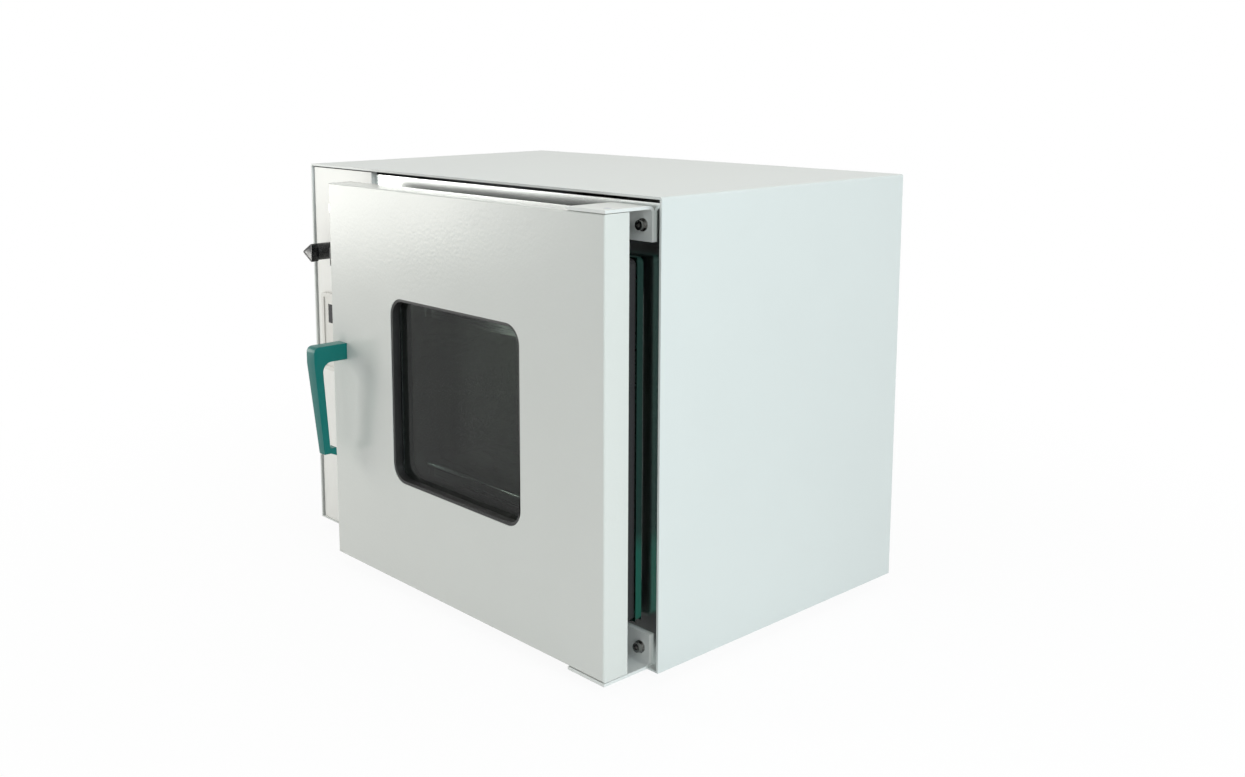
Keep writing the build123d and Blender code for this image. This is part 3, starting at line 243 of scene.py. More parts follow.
# %% Powder coats
def powder_coat(name, light, dark, roughness, peel_strength):
    material, tree, shader, place = finish(name)
    broad = noise(tree, place, 5.0, detail=2.0)
    peel = noise(tree, place, 330.0, detail=1.0, rough=0.4)
    tree.links.new(tint(tree, broad, dark, light), shader.inputs["Base Color"])
    tree.links.new(spread(tree, broad, roughness - 0.02, roughness + 0.03),
                   shader.inputs["Roughness"])
    relief(tree, shader, peel, peel_strength, 0.0002)
    return material


case_coat = powder_coat("case_powder_coat", (0.70, 0.725, 0.71), (0.68, 0.705, 0.69), 0.42, 0.2)
# The brackets wear the case's white coat made lighter: painted light on their faces.
bracket_painted_light_coat = powder_coat("bracket_coat_painted_light", (0.77, 0.78, 0.76), (0.75, 0.76, 0.74), 0.45, 0.2)
# The column wears the case's white coat made much lighter: painted light that undoes the door's
# shade on it.
column_painted_light_coat = powder_coat("column_coat_painted_light", (0.90, 0.90, 0.87), (0.88, 0.88, 0.85), 0.40, 0.2)
door_coat = powder_coat("door_powder_coat", (0.70, 0.71, 0.68), (0.685, 0.695, 0.665), 0.20, 0.5)
handle_coat = powder_coat("handle_green_coat", (0.001, 0.160, 0.145), (0.001, 0.140, 0.126),
                          0.34, 0.2)
handle_coat.node_tree.nodes["Principled BSDF"].inputs["Specular IOR Level"].default_value = 0.3
lining_coat = powder_coat("lining_dark_coat", (0.045, 0.046, 0.045), (0.034, 0.035, 0.034),
                          0.5, 0.4)
for name in ("case_shell", "base_tray", "rear_panel"):
    wear(name, case_coat)
wear("column_panel", column_painted_light_coat)
wear("hinge_brackets", bracket_painted_light_coat)
wear("door_pan", door_coat)
wear("door_cover", lining_coat)
wear("handle_lever", handle_coat)
print("powder coats on case, door and handle")

# %% [markdown]
# ## Bare metal
# Rolled stainless sheet carries long fine lines from its brushing, zinc plate is cloudy with small
# spangles, and turned brass is smooth with a faint warm stain. Each is one metallic shader with a
# noise that is drawn out, or not, to suit. The chamber's front frame is polished, so it has only
# broad smears in its sheen and no grain.


# %% Bare metals
def bare_metal(name, light, dark, roughness, scale, stretch, depth):
    material, tree, shader, place = finish(name)
    grain = noise(tree, place, scale, detail=6.0, stretch=stretch)
    clouds = noise(tree, place, 9.0, detail=3.0)
    tree.links.new(tint(tree, clouds, dark, light), shader.inputs["Base Color"])
    tree.links.new(spread(tree, grain, roughness - 0.08, roughness + 0.1),
                   shader.inputs["Roughness"])
    shader.inputs["Metallic"].default_value = 1.0
    relief(tree, shader, grain, 0.25, depth)
    return material


stainless = bare_metal("brushed_stainless", (0.66, 0.66, 0.65), (0.58, 0.58, 0.57), 0.32, 900,
                       (0.02, 1, 1), 0.00002)
zinc = bare_metal("zinc_plate", (0.62, 0.64, 0.67), (0.50, 0.52, 0.55),
                  0.38, 260, (1, 1, 1), 0.00003)
brass = bare_metal("turned_brass", (0.80, 0.62, 0.30), (0.68, 0.50, 0.22), 0.30, 500, (1, 0.05, 1),
                   0.00002)
chromed = bare_metal("chrome_plate", (0.80, 0.80, 0.82), (0.74, 0.74, 0.76), 0.14, 300, (1, 1, 1),
                     0.00001)
polished_steel, tree, shader, place = finish("polished_stainless")
smears = noise(tree, place, 4.0, detail=2.0)
tree.links.new(tint(tree, smears, (0.83, 0.86, 0.85), (0.87, 0.90, 0.89)),
               shader.inputs["Base Color"])
tree.links.new(spread(tree, smears, 0.21, 0.25), shader.inputs["Roughness"])
shader.inputs["Metallic"].default_value = 1.0
screw_steel = bare_metal("dark_screw_steel", (0.34, 0.34, 0.33), (0.26, 0.26, 0.25),
                         0.22, 300, (1, 1, 1),
                         0.00001)
for name in ("vacuum_chamber", "chamber_flange", "lower_shelf", "upper_shelf", "shelf_rails",
             "temperature_probe", "vacuum_nozzle", "pipework"):
    wear(name, stainless)
wear("chamber_frame", polished_steel)
wear("frame_screws", screw_steel)
for name in ("column_bulkhead", "chamber_supports", "glass_clips", "pane_retainer", "hinge_blocks",
             "hinge_pins", "rear_panel_screws", "handle_spindle", "latch_cam",
             "latch_keeper", "vacuum_valve_stem", "vent_valve_stem"):
    wear(name, zinc)
for name in ("valve_bodies", "inlet_pins", "door_bushes"):
    wear(name, brass)
wear("gauge_case", chromed)
print("bare metals on chamber, brackets, valves and gauge")

# %% [markdown]
# ## Rubber, plastic and fibre
# Moulded rubber and plastic are dull with a fine grain from the mould. Fibre board is matt and
# fluffy. They differ in colour, in the size of the grain and in how far it stands out.


# %% Moulded finishes
def moulded(name, light, dark, roughness, scale, depth, strength=0.3):
    material, tree, shader, place = finish(name)
    grain = noise(tree, place, scale, detail=4.0)
    clouds = noise(tree, place, 14.0)
    tree.links.new(tint(tree, clouds, dark, light), shader.inputs["Base Color"])
    tree.links.new(spread(tree, grain, roughness - 0.06, roughness + 0.08),
                   shader.inputs["Roughness"])
    relief(tree, shader, grain, strength, depth)
    return material


black_rubber = moulded("black_rubber", (0.010, 0.010, 0.011), (0.007, 0.007, 0.008),
                       0.66, 700, 0.0001)
seal_rubber = moulded("seal_rubber", (0.018, 0.018, 0.018), (0.012, 0.012, 0.012), 0.5, 700, 0.0001)
black_silicone = moulded("black_silicone", (0.030, 0.030, 0.030), (0.020, 0.020, 0.021),
                         0.42, 500, 0.0001)
heater_silicone = moulded("heater_silicone", (0.50, 0.16, 0.07), (0.44, 0.13, 0.06),
                          0.55, 900, 0.0002)
fibre_board = moulded("ceramic_fibre_board", (0.80, 0.78, 0.70), (0.72, 0.70, 0.62),
                      0.9, 240, 0.0008, 0.6)
black_plastic = moulded("black_plastic", (0.020, 0.021, 0.023), (0.013, 0.014, 0.015),
                        0.36, 1100, 0.00006)
knob_plastic = moulded("knob_plastic", (0.010, 0.010, 0.011), (0.007, 0.007, 0.008),
                       0.24, 900, 0.00004)
bezel_plastic = moulded("bezel_cream_plastic", (0.80, 0.79, 0.75), (0.77, 0.76, 0.72),
                        0.40, 1100, 0.00006)
key_plastic = moulded("key_plastic", (0.62, 0.64, 0.66), (0.58, 0.60, 0.62), 0.42, 1100, 0.00005)
circuit_board = moulded("circuit_laminate", (0.03, 0.16, 0.06), (0.02, 0.12, 0.045),
                        0.4, 300, 0.0001)
dial_white = moulded("dial_white", (0.85, 0.85, 0.83), (0.82, 0.82, 0.80), 0.5, 800, 0.00003)
pointer_black = moulded("pointer_black", (0.015, 0.015, 0.015), (0.01, 0.01, 0.01),
                        0.4, 800, 0.00003)
digit_grey = moulded("digit_grey", (0.16, 0.17, 0.16), (0.13, 0.14, 0.13), 0.3, 800, 0.00002)
rocker_red = moulded("rocker_red", (0.50, 0.025, 0.018), (0.45, 0.02, 0.015), 0.22, 900, 0.00003)
display_black = moulded("display_black", (0.010, 0.011, 0.012), (0.007, 0.008, 0.009),
                        0.12, 400, 0.00001)
for name, material in (
        ("rubber_feet", black_rubber), ("window_seal", black_rubber),
        ("glass_cushion", black_rubber), ("power_loom", black_rubber),
        ("door_gasket", black_silicone), ("heater_mats", heater_silicone),
        ("insulation_slabs", fibre_board), ("vacuum_valve_knob", black_plastic),
        ("vent_valve_knob", black_plastic), ("controller_case", black_plastic),
        ("switch_body", black_plastic), ("inlet_socket", black_plastic),
        ("solid_state_relay", black_plastic), ("controller_bezel", bezel_plastic),
        ("key_set", key_plastic), ("key_shift", key_plastic), ("key_down", key_plastic),
        ("key_up", key_plastic), ("controller_board", circuit_board), ("gauge_dial", dial_white),
        ("gauge_needle", pointer_black), ("switch_rocker", rocker_red),
        ("display_window", display_black)):
    wear(name, material)
print("moulded finishes on rubber, plastic and fibre parts")

# %% [markdown]
# ## Glass
# The door holds a smoke-tinted pane at the front and a thick pressure plate behind it. Light that
# comes out at the rim of so thick a plate has gone a long way through it, and looks deep green, so
# the plate's tint is led by the distance to its rim. The gauge has a thin clear lens. A faint
# noise in the roughness stands for wiping marks. A solid glass would keep the lamps out of the
# chamber, so for a lamp's rays it turns into a plain tinted filter.


# %% Glasses
def glass(name, colour, shadow, roughness, bend):
    material, tree, shader, place = finish(name)
    smear = noise(tree, place, 18.0, detail=5.0)
    tree.links.new(spread(tree, smear, roughness, roughness + 0.02), shader.inputs["Roughness"])
    shader.inputs["Base Color"].default_value = (*colour, 1)
    shader.inputs["Transmission Weight"].default_value = 1.0
    shader.inputs["IOR"].default_value = bend
    filtered = tree.nodes.new("ShaderNodeBsdfTransparent")
    filtered.inputs["Color"].default_value = (*shadow, 1)
    ray = tree.nodes.new("ShaderNodeLightPath")
    chooser = tree.nodes.new("ShaderNodeMixShader")
    tree.links.new(ray.outputs["Is Shadow Ray"], chooser.inputs["Fac"])
    tree.links.new(shader.outputs["BSDF"], chooser.inputs[1])
    tree.links.new(filtered.outputs["BSDF"], chooser.inputs[2])
    tree.links.new(chooser.outputs["Shader"], tree.nodes["Material Output"].inputs["Surface"])
    return material


def green_rim(material, center, half_width, half_height, field, rim, depth):
    """Turns the glass from its field colour to its rim colour over that depth."""
    tree = material.node_tree
    place = tree.nodes.new("ShaderNodeTexCoord").outputs["Object"]
    axes = tree.nodes.new("ShaderNodeSeparateXYZ")
    tree.links.new(place, axes.inputs["Vector"])
    nearness = []
    for axis, middle, half in (("X", center[0], half_width), ("Z", center[1], half_height)):
        offset, size, inward = (tree.nodes.new("ShaderNodeMath") for _ in range(3))
        offset.operation, size.operation, inward.operation = "SUBTRACT", "ABSOLUTE", "SUBTRACT"
        offset.inputs[1].default_value = middle
        inward.inputs[0].default_value = half
        tree.links.new(axes.outputs[axis], offset.inputs[0])
        tree.links.new(offset.outputs[0], size.inputs[0])
        tree.links.new(size.outputs[0], inward.inputs[1])
        nearness.append(inward.outputs[0])
    nearest = tree.nodes.new("ShaderNodeMath")
    nearest.operation = "MINIMUM"
    tree.links.new(nearness[0], nearest.inputs[0])
    tree.links.new(nearness[1], nearest.inputs[1])
    reach = tree.nodes.new("ShaderNodeMapRange")
    reach.inputs["From Max"].default_value = depth
    tree.links.new(nearest.outputs[0], reach.inputs["Value"])
    ramp = tree.nodes.new("ShaderNodeValToRGB")
    ramp.color_ramp.elements[0].color = (*rim, 1)
    ramp.color_ramp.elements[1].color = (*field, 1)
    tree.links.new(reach.outputs["Result"], ramp.inputs["Fac"])
    tree.links.new(ramp.outputs["Color"], tree.nodes["Principled BSDF"].inputs["Base Color"])


pressure_plate = glass("green_edged_glass", (0.84, 0.90, 0.87), (0.90, 0.96, 0.93), 0.02, 1.22)
PLATE_MIDDLE, PLATE_HALF_WIDTH, PLATE_HALF_HEIGHT = (0.07225, 0.230), 0.200, 0.1725
green_rim(pressure_plate, PLATE_MIDDLE, PLATE_HALF_WIDTH, PLATE_HALF_HEIGHT,
          (0.84, 0.90, 0.87), (0.02, 0.30, 0.20), 0.012)
# The ground rim's green is partly its own and partly painted glow. These heights set where the
# painted glow turns lighter near the foot.
PAINTED_GLOW_TOP, PAINTED_GLOW_FULL = 0.17, 0.10
ground_edge_painted_glow, tree, shader, place = finish("ground_glass_edge_painted_glow")
grain = noise(tree, place, 400.0)
height = tree.nodes.new("ShaderNodeSeparateXYZ")
tree.links.new(place, height.inputs["Vector"])
painted_glow_share = tree.nodes.new("ShaderNodeMapRange")
painted_glow_share.interpolation_type = "SMOOTHSTEP"
painted_glow_share.inputs["From Min"].default_value = PAINTED_GLOW_TOP
painted_glow_share.inputs["From Max"].default_value = PAINTED_GLOW_FULL
tree.links.new(height.outputs["Z"], painted_glow_share.inputs["Value"])
rim_green_painted_glow = tint(tree, painted_glow_share.outputs["Result"], (0.002, 0.024, 0.018), (0.004, 0.080, 0.055))
tree.links.new(rim_green_painted_glow, shader.inputs["Base Color"])
tree.links.new(spread(tree, grain, 0.45, 0.6), shader.inputs["Roughness"])
shader.inputs["Specular IOR Level"].default_value = 0.25
relief(tree, shader, grain, 0.3, 0.0001)
wear("window_pane", glass("smoked_glass", (0.50, 0.52, 0.50), (0.85, 0.88, 0.86), 0.02, 1.22))
wear("pressure_glass", pressure_plate)
wear("gauge_lens", glass("clear_lens", (0.92, 0.94, 0.93), (0.96, 0.97, 0.96), 0.01, 1.45))
print("glass in the door and the gauge")

# %% [markdown]
# ## Working on shapes in edit mode
# Five more helpers finish a shape. Recalculated normals point out only on a closed shell, so loose
# doubles are merged first. A ring is made from a block: its front and back are inset, and the two
# inner faces are bridged into a hole. Small parts of one piece are joined into one mesh.


# %% More shape helpers
def close_up(piece):
    """Merges doubles, then turns all normals outwards."""
    deselect()
    bpy.context.view_layer.objects.active = piece
    piece.select_set(True)
    bpy.ops.object.mode_set(mode="EDIT")
    bpy.ops.mesh.select_all(action="SELECT")
    bpy.ops.mesh.remove_doubles(threshold=0.00001)
    bpy.ops.mesh.normals_make_consistent(inside=False)
    leave_edit()
    return piece


def cut(piece, place, direction):
    """Adds an edge loop where a plane crosses the piece."""
    pick_faces(piece, lambda center, normal: True)
    bpy.ops.mesh.bisect(plane_co=place, plane_no=direction)
    leave_edit()


def join(name, pieces):
    deselect()
    for piece in pieces:
        piece.select_set(True)
    bpy.context.view_layer.objects.active = pieces[0]
    bpy.ops.object.join()
    bpy.context.object.name = name
    return bpy.context.object


def ring(name, low, high, corner, width):
    """A rounded frame that faces the front, between two corners of its box."""
    piece = block(name, low, high)
    depth = high[1] - low[1]
    pick_faces(piece, lambda center, normal: abs(normal.y) > 0.9)
    bpy.ops.mesh.inset(thickness=width)
    bpy.ops.mesh.bridge_edge_loops()
    leave_edit()

    def outside(point):
        return min(point.x - low[0], high[0] - point.x) < 0.0001

    for radius, wanted in ((corner, True), (max(corner - width, 0.001), False)):
        pick_edges(piece, lambda a, b: abs(a.y - b.y) > 0.9 * depth and outside(a) == wanted)
        bpy.ops.mesh.bevel(offset=radius, segments=12, affect="EDGES")
        leave_edit()
    return close_up(piece)


def place_on(piece, body, material):
    """Gives a piece its body and its finish."""
    piece.data.materials.clear()
    piece.data.materials.append(material)
    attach(piece, body)
    return piece


print("more shape helpers ready")

# %% [markdown]
# ## Window seal
# A rubber frame lines the window's folded edge and holds the front pane. On the real door it is one
# moulded strip with a rounded front lip. A sweep along the opening would do, but a ring with
# bevelled edges gives the same strip and keeps its corners exact.

# %% Window seal
seal_low, seal_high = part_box("window_seal")
window_bead = ring("window_bead", seal_low, seal_high, 0.020, 0.003)
soften(window_bead, 0.0006, segments=3)
place_on(window_bead, "door", seal_rubber)
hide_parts("window_seal")
print("window bead", len(window_bead.data.polygons), "faces")

# %% [markdown]
# ## Door gasket
# The silicone cord in the groove of the chamber's flange is what holds the vacuum. Its front is
# round, so that the glass presses on a line. A wide bevel on a square ring gives that section.

# %% Door gasket
gasket_low, gasket_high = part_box("door_gasket")
gasket_cord = ring("gasket_cord", gasket_low, gasket_high, 0.021, 0.010)
soften(gasket_cord, 0.0034, segments=6)
place_on(gasket_cord, "case", black_silicone)
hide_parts("door_gasket")
print("gasket cord", len(gasket_cord.data.polygons), "faces")

# %% [markdown]
# ## Glass cushion
# The pressure glass rests on a thick rubber frame on the back of the door, which lets it settle
# flat on the gasket. Its long edges are moulded round. A profile could be swept along the frame,
# but a ring with a wide bevel gives the same section and keeps the corners closed.

# %% Glass cushion
cushion_low, cushion_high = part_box("glass_cushion")
cushion = ring("glass_bed", cushion_low, cushion_high, 0.006, 0.014)
soften(cushion, 0.0032, segments=5)
place_on(cushion, "door", black_rubber)
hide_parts("glass_cushion")
print("glass bed", len(cushion.data.polygons), "faces")

# %% [markdown]
# ## Ground rim of the pressure glass
# The rim of thick plate glass is ground, so it is matt and green. The light that glows inside the
# plate is painted into that green, on a thin skin of ground glass laid around the plate, since a
# shader on clear glass can't show it in a dark gap. Its green is lighter near the foot: painted
# glow.

# %% Glass rim
plate_low, plate_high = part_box("pressure_glass")
skin = Vector((0.00008, -0.0012, 0.00008))
glass_rim = ring("glass_rim", plate_low - skin, plate_high + skin, 0.006, 0.0003)
place_on(glass_rim, "door", ground_edge_painted_glow)
print("glass rim", len(glass_rim.data.polygons), "faces")

# %% [markdown]
# ## Rolled shelf edges
# The front edge of each shelf is rolled over, so that it is smooth to the hand, and the roll
# catches the light through the window. A bevel on the thin sheet would be too small to see; a round
# bar along the edge, with its ends softened, shows the roll.


# %% Shelf edges
ROLL_RADIUS, ROLL_END_GAP = 0.0018, 0.001


def rolled_edge(name, node, body):
    """A round bar along the front edge of a shelf."""
    low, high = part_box(node)
    middle = ((low[0] + high[0]) / 2, low[1] + 0.0014, high[2] - 0.0012)
    edge = disc(name, middle, ROLL_RADIUS, high[0] - low[0] - 2 * ROLL_END_GAP, (1, 0, 0), sides=24)
    soften(edge, 0.0006)
    place_on(edge, body, rolled_steel_painted_sheen)
    print(name, len(edge.data.polygons), "faces")


# The roll's steel is a lighter copy of the chamber's stainless: painted light that brightens its
# highlight.
rolled_steel_painted_sheen = bare_metal("rolled_stainless_painted_sheen", (0.90, 0.90, 0.89), (0.86, 0.86, 0.85), 0.28, 500,
                          (0.05, 1, 1), 0.00001)
rolled_edge("lower_shelf_edge", "lower_shelf", "bottom_shelf")
rolled_edge("upper_shelf_edge", "upper_shelf", "top_shelf")

# %% [markdown]
# ## Rubber feet
# Each foot is a tapered rubber plug with a soft lower edge and a hollow underside. It starts as a
# cone, its underside is inset and pushed in, and its spigot is drawn up out of the top. One foot is
# modelled, and the other three are copies.

# %% Feet
FOOT_X, FOOT_FRONT, FOOT_BACK = 0.250, -0.1115, 0.1685
FOOT_UNDER_RADIUS, FOOT_TOP_RADIUS, FOOT_TALL = 0.01274, 0.014, 0.012


def rubber_foot(name, x, y):
    deselect()
    bpy.ops.mesh.primitive_cone_add(vertices=48, radius1=FOOT_UNDER_RADIUS,
                                    radius2=FOOT_TOP_RADIUS, depth=FOOT_TALL,
                                    location=(x, y, FOOT_TALL / 2))
    foot = settle(name)
    pick_faces(foot, lambda center, normal: normal.z < -0.9)
    bpy.ops.mesh.inset(thickness=0.005)
    bpy.ops.mesh.extrude_region_move(TRANSFORM_OT_translate={"value": (0, 0, 0.005)})
    bpy.ops.mesh.inset(thickness=0.001)
    leave_edit()
    pick_faces(foot, lambda center, normal: normal.z > 0.9)
    bpy.ops.mesh.inset(thickness=0.009)
    bpy.ops.mesh.extrude_region_move(TRANSFORM_OT_translate={"value": (0, 0, 0.003)})
    leave_edit()
    return soften(close_up(foot), 0.0009)


first_foot = rubber_foot("foot_set", -FOOT_X, FOOT_FRONT)
feet = [first_foot]
for x, y in ((2 * FOOT_X, 0), (0, FOOT_BACK - FOOT_FRONT), (2 * FOOT_X, FOOT_BACK - FOOT_FRONT)):
    foot = first_foot.copy()
    foot.data = first_foot.data.copy()
    foot.data.transform(Matrix.Translation((x, y, 0)))
    bpy.context.collection.objects.link(foot)
    feet.append(foot)
foot_set = join("foot_set", feet)
place_on(foot_set, "case", black_rubber)
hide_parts("rubber_feet")
print("feet", len(foot_set.data.polygons), "faces")

# %% [markdown]
# ## Door handle
# The handle is one bent and forged lever: an arm that leaves the door squarely, and a grip that
# narrows and leans back to a short toe. It starts as the arm's block. The grip is extruded out of
# the arm's underside, its end is narrowed, and the toe is extruded out of the grip's end. The
# inside corner and the elbow are bevelled round, and then all edges are softened.

# %% Handle lever
HANDLE_X = -0.1468
GRIP_FRONT, ARM_BACK = -0.2535, -0.2113
ARM_TOP, ARM_UNDER, GRIP_END = 0.2675, 0.2491, 0.1433
HALF_WIDTH, GRIP_DEPTH, TOE_TALL, NEAR = 0.008, 0.010, 0.006, 0.0001
lever = block("door_lever", (HANDLE_X - HALF_WIDTH, GRIP_FRONT, ARM_UNDER),
              (HANDLE_X + HALF_WIDTH, ARM_BACK, ARM_TOP))
cut(lever, (0, GRIP_FRONT + GRIP_DEPTH, 0), (0, 1, 0))
pick_faces(lever, lambda center, normal: normal.z < -0.9 and center.y < GRIP_FRONT + GRIP_DEPTH)
bpy.ops.mesh.extrude_region_move(
    TRANSFORM_OT_translate={"value": (0, 0.010, GRIP_END - ARM_UNDER)})
bpy.ops.transform.resize(value=(11 / 16, 0.8, 1),
                         center_override=(HANDLE_X, GRIP_FRONT + 0.015, GRIP_END))
leave_edit()
cut(lever, (0, 0, GRIP_END + TOE_TALL), (0, 0, 1))
pick_faces(lever, lambda center, normal: normal.y > 0.9 and center.z < GRIP_END + TOE_TALL)
bpy.ops.mesh.extrude_region_move(TRANSFORM_OT_translate={"value": (0, 0.0078, 0)})
leave_edit()
toe_back = max(p.co.y for p in lever.data.vertices if p.co.z < GRIP_END + 0.007)
pick_edges(lever, lambda a, b: max(a.z, b.z) < GRIP_END + 0.001
           and min(a.y, b.y) > toe_back - 0.001)
bpy.ops.transform.translate(value=(0, 0, -0.0034))
leave_edit()
pick_edges(lever, lambda a, b: abs(a.x - b.x) > 0.01
           and abs(a.z - ARM_UNDER) + abs(b.z - ARM_UNDER) < NEAR
           and abs(a.y - GRIP_FRONT - GRIP_DEPTH) < NEAR)
bpy.ops.mesh.bevel(offset=0.012, segments=10, affect="EDGES")
leave_edit()
pick_edges(lever, lambda a, b: abs(a.x - b.x) > 0.01 and min(a.z, b.z) > ARM_TOP - NEAR
           and max(a.y, b.y) < GRIP_FRONT + NEAR)
bpy.ops.mesh.bevel(offset=0.0065, segments=6, affect="EDGES")
leave_edit()
soften(close_up(lever), 0.0018, segments=4, angle=30)
place_on(lever, "handle", handle_coat)
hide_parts("handle_lever")
print("lever", len(lever.data.polygons), "faces", [round(v, 4) for v in lever.dimensions])

# %% [markdown]
# ## Valve knobs
# Each needle valve has a three-cornered knob on a round neck, moulded in one. The head starts as a
# three-sided cylinder whose corners are bevelled round, and its face gets a shallow dish. The neck
# is a short bar with grip flutes. Both knobs come from one function.

# %% Knobs
VACUUM_X, VENT_X, VALVE_Z = -0.2563, -0.2023, 0.3555
KNOB_FRONT, KNOB_BACK = -0.1865, -0.155
HEAD_RADIUS, HEAD_DEPTH, NECK_RADIUS = 0.014, 0.009, 0.010


def knob_head(name, x, turn):
    """The three-cornered head, its first corner at that angle from the right."""
    deselect()
    facing = Matrix.Rotation(math.pi / 2, 4, "X") @ Matrix.Rotation(math.radians(turn - 90), 4, "Z")
    bpy.ops.mesh.primitive_cylinder_add(vertices=3, radius=HEAD_RADIUS, depth=HEAD_DEPTH,
                                        location=(x, KNOB_FRONT + HEAD_DEPTH / 2, VALVE_Z),
                                        rotation=facing.to_euler())
    head = settle(name)
    pick_edges(head, lambda a, b: abs(a.y - b.y) > 0.005)
    bpy.ops.mesh.bevel(offset=0.00346, segments=8, affect="EDGES")
    leave_edit()
    pick_faces(head, lambda center, normal: normal.y < -0.9)
    bpy.ops.mesh.inset(thickness=0.0014)
    bpy.ops.mesh.extrude_region_move(TRANSFORM_OT_translate={"value": (0, 0.0005, 0)})
    leave_edit()
    return soften(close_up(head), 0.0005)


def knob_neck(name, x):
    """The round neck, with shallow flutes pressed into every other face."""
    neck = disc(name, (x, (KNOB_FRONT + 0.0085 + KNOB_BACK) / 2, VALVE_Z), NECK_RADIUS,
                KNOB_BACK - KNOB_FRONT - 0.0085, (0, -1, 0), sides=72)
    middle = Vector((x, (KNOB_FRONT + HEAD_DEPTH + KNOB_BACK) / 2, VALVE_Z))

    def fluted(center, normal):
        angle = math.degrees(math.atan2(center.z - middle.z, center.x - middle.x)) % 15
        return abs(normal.y) < 0.1 and angle < 5

    pick_faces(neck, fluted)
    bpy.ops.mesh.inset(thickness=0.0001, use_individual=True)
    bpy.ops.transform.resize(value=(0.965, 0.9, 0.965), center_override=middle)
    leave_edit()
    return soften(neck, 0.0003, segments=2)


def valve_knob(name, node, body, x, turn):
    """A head and neck in one, with a white mark toward the first corner."""
    knob = join(name, [knob_head(name, x, turn), knob_neck(name + "_neck", x)])
    place_on(knob, body, knob_plastic)
    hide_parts(node)
    angle = math.radians(turn)
    start = Vector((x + 0.003 * math.cos(angle), KNOB_FRONT + 0.0002,
                    VALVE_Z + 0.003 * math.sin(angle)))
    mark = block(name + "_mark", (-0.0004, -0.00015, 0), (0.0004, 0.00055, 0.0055))
    mark.data.transform(Matrix.Translation(start) @ Matrix.Rotation(math.pi / 2 - angle, 4, "Y"))
    soften(mark, 0.0001, segments=2)
    place_on(mark, body, dial_white)
    return knob


for name, node, body, x, turn in (
        ("vacuum_knob_moulding", "vacuum_valve_knob", "vacuum_valve", VACUUM_X, 180),
        ("vent_knob_moulding", "vent_valve_knob", "vent_valve", VENT_X, 240)):
    knob = valve_knob(name, node, body, x, turn)
    print(name, len(knob.data.polygons), "faces")

# %% [markdown]
# ## Marks on the gauge, the controller and the switch
# The dial, the keys and the rocker carry printed marks. An image would do on a screen, but thin
# raised shapes stay sharp from near by. Text is made a mesh first, and is then put in its place.

# %% Marks
def lettering(name, words, size, matrix):
    """Thin raised words that face the front, put in place by a matrix."""
    deselect()
    bpy.ops.object.text_add(location=(0, 0, 0))
    text = bpy.context.object
    text.data.body = words
    text.data.size = size
    text.data.extrude = 0.00008
    text.data.align_x = "CENTER"
    text.data.align_y = "CENTER"
    bpy.ops.object.convert(target="MESH")
    printed = bpy.context.object
    printed.name = name
    printed.data.transform(matrix @ Matrix.Rotation(math.pi / 2, 4, "X"))
    return close_up(printed)


def stroke(name, size, matrix):
    """A printed bar: width, thickness and length."""
    bar = block(name, (-size[0] / 2, -size[1], -size[2] / 2), (size[0] / 2, size[1], size[2] / 2))
    bar.data.transform(matrix)
    return soften(bar, size[0] * 0.2, segments=2)


GAUGE = Vector((-0.2278, -0.1503, 0.407))
SCALE_START, SCALE_SWEEP, SMALL_TICKS, NUMBERS = -45, 270, 50, 6
TICK_RADIUS, NUMBER_RADIUS = 0.0188, 0.0122


def on_dial(angle, radius):
    """A place on the dial at that angle from the right, with its length along the radius."""
    across = Vector((math.cos(angle), 0, math.sin(angle))) * radius
    return Matrix.Translation(GAUGE + across) @ Matrix.Rotation(math.pi / 2 - angle, 4, "Y")


dial_print = []
for step in range(SMALL_TICKS + 1):
    angle = math.radians(SCALE_START + step * SCALE_SWEEP / SMALL_TICKS)
    size = (0.0005, 0.00006, 0.0032) if step % 5 == 0 else (0.00025, 0.00006, 0.0018)
    dial_print.append(stroke("tick", size, on_dial(angle, TICK_RADIUS - size[2] / 2)))
for step in range(NUMBERS):
    angle = math.radians(SCALE_START + step * SCALE_SWEEP / (NUMBERS - 1))
    across = Vector((math.cos(angle), 0, math.sin(angle))) * NUMBER_RADIUS
    words = "0" if step == 0 else "-0.%02d" % (2 * step) if step < 5 else "-0.1"
    dial_print.append(lettering("number", words, 0.0034, Matrix.Translation(GAUGE + across)))
unit_place = Matrix.Translation(GAUGE + Vector((0, 0, -0.010)))
dial_print.append(lettering("unit", "MPa", 0.0036, unit_place))
dial_marks = join("dial_marks", dial_print)
place_on(dial_marks, "case", pointer_black)
print("dial marks", len(dial_marks.data.polygons), "faces")

# %% Key and display marks
KEY_FACE, KEY_Z, DISPLAY_FACE, DISPLAY_Z = -0.1583, 0.2245, -0.1573, 0.2775
KEY_XS = (-0.2563, -0.2383, -0.2203, -0.2023)
LIGHT_FACE, LIGHT_Z = -0.1572, 0.2380
for x, body, words in zip(KEY_XS, ("set_key", "shift_key", "down_key", "up_key"),
                          ("SET", "<", "v", "^")):
    legend = lettering(body + "_legend", words, 0.0042 if len(words) > 1 else 0.0062,
                       Matrix.Translation((x, KEY_FACE, KEY_Z)))
    place_on(legend, body, pointer_black)
reading_place = Matrix.Translation((-0.2463, DISPLAY_FACE, DISPLAY_Z))
target_place = Matrix.Translation((-0.2100, DISPLAY_FACE, DISPLAY_Z))
digits = [lettering("digits", "25.0", 0.0105, reading_place),
          lettering("target", "60.0", 0.0080, target_place)]
digits = join("display_digits", digits)
place_on(digits, "case", digit_grey)
lights = []
for x in KEY_XS:
    lamp = disc("lamp", (x, LIGHT_FACE, LIGHT_Z), 0.0014, 0.0008, (0, -1, 0), sides=24)
    lights.append(soften(lamp, 0.0003))
lights = join("indicator_lights", lights)
place_on(lights, "case", rocker_red)
print("keys, digits and", len(lights.data.polygons), "faces of lights")

